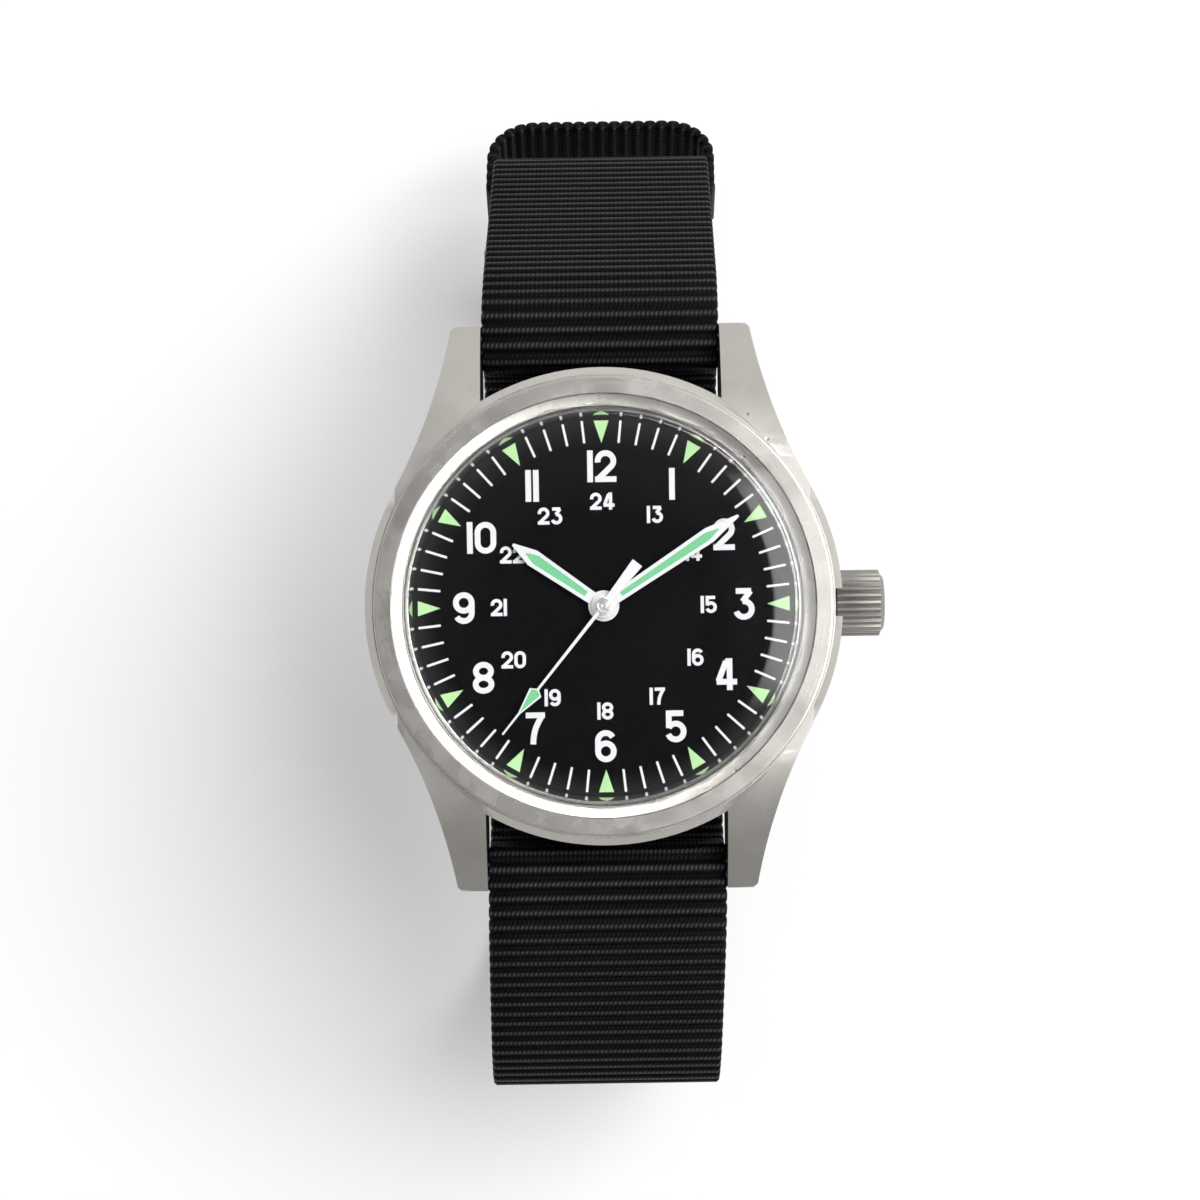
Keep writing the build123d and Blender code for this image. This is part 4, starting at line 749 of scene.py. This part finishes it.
def webbing(name, middle, across, width, thickness, closed):
    """Ribbed webbing along a middle line whose points are RIB_STEPS to a rib."""
    bm = bmesh.new()
    flat = bm.loops.layers.uv.new("flat")
    turn = tangents(middle, closed)
    half_w, half_t = width / 2, thickness / 2
    inset = half_t * INSET_SHARE
    rings, marks = [], []
    for k, (point, along) in enumerate(zip(middle, turn)):
        out = across.cross(along).normalized()
        v = 2 * ((k % RIB_STEPS) / RIB_STEPS) - 1
        round_share = sqrt(max(0.0, 1 - abs(v)**RIB_POWER))
        height = half_t * (1 - RIB_DEPTH_SHARE * (1 - round_share))
        edge = half_w - SCALLOP * (1 - round_share)
        shoulder, rise = edge - half_t * SHOULDER_SHARE, height * SIDE_SHARE
        steps = [2 * shoulder * j / WEB_COLUMNS for j in range(WEB_COLUMNS + 1)]
        section = [(-shoulder + step, height) for step in steps]
        section += [(edge - inset, rise), (edge, 0.0), (edge - inset, -rise)]
        section += [(shoulder - step, -height) for step in steps]
        section += [(inset - edge, -rise), (-edge, 0.0), (inset - edge, rise)]
        rings.append([bm.verts.new(point + across * a + out * b) for a, b in section])
        marks.append([a / MM for a, b in section])
    size = len(rings[0])
    last = len(rings) if closed else len(rings) - 1
    for k in range(last):
        a, b = rings[k], rings[(k + 1) % len(rings)]
        for j in range(size):
            i = (j + 1) % size
            face = bm.faces.new((a[j], a[i], b[i], b[j]))
            us = (marks[k][j], marks[k][i], marks[k][i], marks[k][j])
            vs = (k / RIB_STEPS, k / RIB_STEPS, (k + 1) / RIB_STEPS, (k + 1) / RIB_STEPS)
            for loop, u, w in zip(face.loops, us, vs):
                loop[flat].uv = (u, w)
    if not closed:
        bm.faces.new(reversed(rings[0]))
        bm.faces.new(rings[-1])
    bmesh.ops.recalc_face_normals(bm, faces=bm.faces)
    return add_piece(name, bm, MATERIALS["nylon"], smooth=True)


def drift(y):
    """How far the strap wanders to one side, beyond the lugs, at a place along the watch."""
    past = max(0.0, abs(y) - DRIFT_START)
    return STRAP_DRIFT_SHARE * past * (1 if y > 0 else -1)


def make_strap():
    low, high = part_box("strap")
    width = high.x - low.x
    across = Vector((1, 0, 0))
    loop = max(face_outline("strap", across), key=len)
    one, other = strip_sides(loop, STRAP_T)
    inward = (other[-1] - one[0]).normalized()
    fine = smoothed(resample(one, RIB_PITCH / RIB_STEPS, False), SIDE_REACH, False)
    heads = tangents(fine, False)
    side = 1 if across.cross(heads[0]).dot(inward) > 0 else -1
    middle = [p + across.cross(t).normalized() * side * STRAP_T / 2 for p, t in zip(fine, heads)]
    middle = [Vector((drift(p.y), p.y, p.z)) for p in middle]
    middle = smoothed(resample(middle, RIB_PITCH / RIB_STEPS, False), MIDDLE_REACH, False)
    length = sum((b - a).length for a, b in zip(middle, middle[1:]))
    ribs = round(length / RIB_PITCH)
    middle = resample(middle, length / (ribs * RIB_STEPS), False)
    piece = webbing("strap_webbing", middle, across, width + WEB_SPREAD, STRAP_T, False)
    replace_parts(piece, "strap")
    return middle


def make_keeper(strap_middle):
    """The keeper's loop, whose band is square to the strap's slope."""
    low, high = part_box("strap_keeper")
    centre = Vector((0, (low.y + high.y) / 2, (low.z + high.z) / 2))
    near = min(range(len(strap_middle)), key=lambda k: (strap_middle[k] - centre).length)
    slope = tangents(strap_middle, False)[near]
    slope = max((f.normal.copy() for f in nodes["strap_keeper"].data.polygons), key=lambda n: n.dot(slope))
    loops = face_outline("strap_keeper", slope)
    outer = max(loops, key=lambda loop: sum((b - a).length for a, b in zip(loop, loop[1:])))
    levels = [v.co.dot(slope) for v in nodes["strap_keeper"].data.vertices]
    band = max(levels) - min(levels)
    outer = [p - slope * band / 2 for p in outer]
    outer = [Vector((p.x * KEEPER_SPREAD_SHARE + drift(p.y), p.y, p.z)) for p in outer]
    fine = resample(outer, RIB_PITCH / RIB_STEPS, True)
    heads = tangents(fine, True)
    inside = sum(fine, Vector()) / len(fine)
    side = 1 if slope.cross(heads[0]).dot(inside - fine[0]) > 0 else -1
    middle = [p + slope.cross(t).normalized() * side * KEEPER_T / 2 for p, t in zip(fine, heads)]
    middle = smoothed(middle, KEEPER_REACH, True)
    length = sum((b - a).length for a, b in zip(middle, middle[1:] + middle[:1]))
    ribs = round(length / RIB_PITCH)
    middle = resample(middle, length / (ribs * RIB_STEPS), True)
    piece = webbing("keeper_webbing", middle, slope, band, KEEPER_T, True)
    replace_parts(piece, "strap_keeper")


# Stage
FLOOR_HALF = 2.0
FLOOR_WHITE = 0.93
FLOOR_GLOW = 0.28  # share of plain white in what the camera sees of the floor

# World, in shares of full white and of a direction's unit length
AMBIENT = 0.42  # on dull surfaces
STUDIO_DIM, STUDIO_BRIGHT = 0.34, 0.8  # what shiny faces see at the lower left and the upper right
STUDIO_AIM, STUDIO_SPAN = (0.6, 0.8), 0.6
SHINY_LEAST = 0.02
HOLE_R, HOLE_SOFT = 0.1, 2.5  # the dark patch overhead, and how much wider it is where it has faded out
HORIZON = 0.05
BOX_STRENGTH = 5.0  # of the soft box at the right
BOX_LOW_SLOPE, BOX_LOW = 0.5, (-0.02, 0.05)
BOX_HIGH_SLOPE, BOX_HIGH = 0.8, (0.06, 0.0)
BOX_NEAR, BOX_FAR = (0.13, 0.15), (0.9, 0.5)

# Lamp
KEY_PLACE, KEY_SIZE, KEY_POWER = (0.50, 0.28, 1.12), (0.72, 0.8), 14.5


def background_share(s):
    """1 for what the camera sees straight, or in metal or glass."""
    rays = s.node("ShaderNodeLightPath")
    seen = s.maths("MAXIMUM", rays.outputs["Is Camera Ray"], rays.outputs["Is Glossy Ray"])
    return s.maths("MAXIMUM", seen, rays.outputs["Is Transmission Ray"])


def make_floor():
    bm = bmesh.new()
    bmesh.ops.create_grid(bm, x_segments=1, y_segments=1, size=FLOOR_HALF)
    mesh = bpy.data.meshes.new("floor")
    bm.to_mesh(mesh)
    bm.free()
    floor = bpy.data.objects.new("floor", mesh)
    floor.location.z = rest_z
    scene.collection.objects.link(floor)
    s = Shader("floor_white", (FLOOR_WHITE,) * 3, 0.0, 0.9)
    s.main.inputs["Specular IOR Level"].default_value = 0.0
    glow = s.node("ShaderNodeEmission", Color=(1, 1, 1, 1), Strength=1.0)
    mixer = s.node("ShaderNodeMixShader")
    s.link(s.maths("MULTIPLY", background_share(s), FLOOR_GLOW), mixer.inputs["Fac"])
    s.link(s.main.outputs[0], mixer.inputs[1])
    s.link(glow.outputs[0], mixer.inputs[2])
    s.link(mixer.outputs[0], s.tree.nodes["Material Output"].inputs["Surface"])
    mesh.materials.append(s.material)


def make_world():
    """White behind the object. Shiny faces see a soft box at the right and a dim lower left."""
    world = bpy.data.worlds.new("studio")
    scene.world = world
    world.use_nodes = True
    s = Shader(tree=world.node_tree)
    background = s.tree.nodes["Background"]
    background.inputs["Color"].default_value = (1, 1, 1, 1)
    rays = s.node("ShaderNodeLightPath")
    where = s.node("ShaderNodeSeparateXYZ")
    s.link(s.coords("Generated"), where.inputs[0])
    x, y = where.outputs["X"], where.outputs["Y"]
    across = s.maths("ADD", s.maths("MULTIPLY", x, STUDIO_AIM[0]), s.maths("MULTIPLY", y, STUDIO_AIM[1]))
    studio = s.ramp(across, -STUDIO_SPAN, STUDIO_SPAN, STUDIO_DIM, STUDIO_BRIGHT)
    off = s.maths("SQRT", s.maths("ADD", s.maths("MULTIPLY", x, x), s.maths("MULTIPLY", y, y)))
    round_hole = s.ramp(off, HOLE_R, HOLE_SOFT * HOLE_R)
    overhead = s.maths("MULTIPLY", round_hole, s.ramp(where.outputs["Z"], -HORIZON, HORIZON))
    low_side = s.ramp(s.maths("ADD", y, s.maths("MULTIPLY", x, BOX_LOW_SLOPE)), *BOX_LOW)
    high_side = s.ramp(s.maths("SUBTRACT", y, s.maths("MULTIPLY", x, BOX_HIGH_SLOPE)), *BOX_HIGH)
    box = s.maths("MULTIPLY", s.maths("MULTIPLY", low_side, high_side),
                  s.maths("MULTIPLY", s.ramp(x, *BOX_NEAR), s.ramp(x, *BOX_FAR)))
    shiny = s.maths("ADD", s.maths("MULTIPLY", studio, overhead), s.maths("MULTIPLY", box, BOX_STRENGTH))
    shiny = s.maths("MAXIMUM", shiny, SHINY_LEAST)
    mirrored = s.maths("MAXIMUM", rays.outputs["Is Glossy Ray"], rays.outputs["Is Transmission Ray"])
    lit = s.maths("ADD", s.maths("MULTIPLY", mirrored, shiny),
                  s.maths("MULTIPLY", s.maths("SUBTRACT", 1.0, mirrored), AMBIENT))
    s.link(s.maths("MAXIMUM", lit, rays.outputs["Is Camera Ray"]), background.inputs["Strength"])


def area_light(name, place, size, power, aim):
    data = bpy.data.lights.new(name, "AREA")
    data.shape = "RECTANGLE"
    data.size, data.size_y = size
    data.energy = power
    lamp = bpy.data.objects.new(name, data)
    lamp.location = place
    lamp.rotation_mode = "QUATERNION"
    lamp.rotation_quaternion = (Vector(place) - Vector(aim)).to_track_quat("Z", "Y")
    lamp.visible_glossy = False  # shiny faces see the world's soft box in its place
    scene.collection.objects.link(lamp)


def make_lights():
    middle = Vector((0, 0, case_top))
    area_light("key", KEY_PLACE, KEY_SIZE, KEY_POWER, middle)


def make_camera():
    data = bpy.data.cameras.new("camera")
    data.lens = LENS
    data.sensor_width = SENSOR
    data.clip_start = CLIP_NEAR
    data.clip_end = CLIP_FAR
    camera = bpy.data.objects.new("camera", data)
    scene.collection.objects.link(camera)
    back = Vector((0, -sin(VIEW_BELOW), 1)).normalized()
    up = Vector((sin(VIEW_TURN), cos(VIEW_TURN), 0))
    right = up.cross(back).normalized()
    up = back.cross(right)
    turn = Matrix((right, up, back)).transposed()
    camera.matrix_world = Matrix.Translation(VIEW_CENTRE + back * VIEW_DISTANCE) @ turn.to_4x4()
    scene.camera = camera


dress_frame()
numeral_ring("hour_numerals", 1, HOUR_NUMERAL_R, HOUR_NUMERAL_H, HOUR_STROKE)
numeral_ring("day_numerals", 13, DAY_NUMERAL_R, DAY_NUMERAL_H, DAY_STROKE)
minute_track()
hour_markers()
make_keeper(make_strap())
make_bezel()
make_crystal()
make_seat()
make_tension_ring()
make_hub()
make_floor()
make_world()
make_lights()
make_camera()
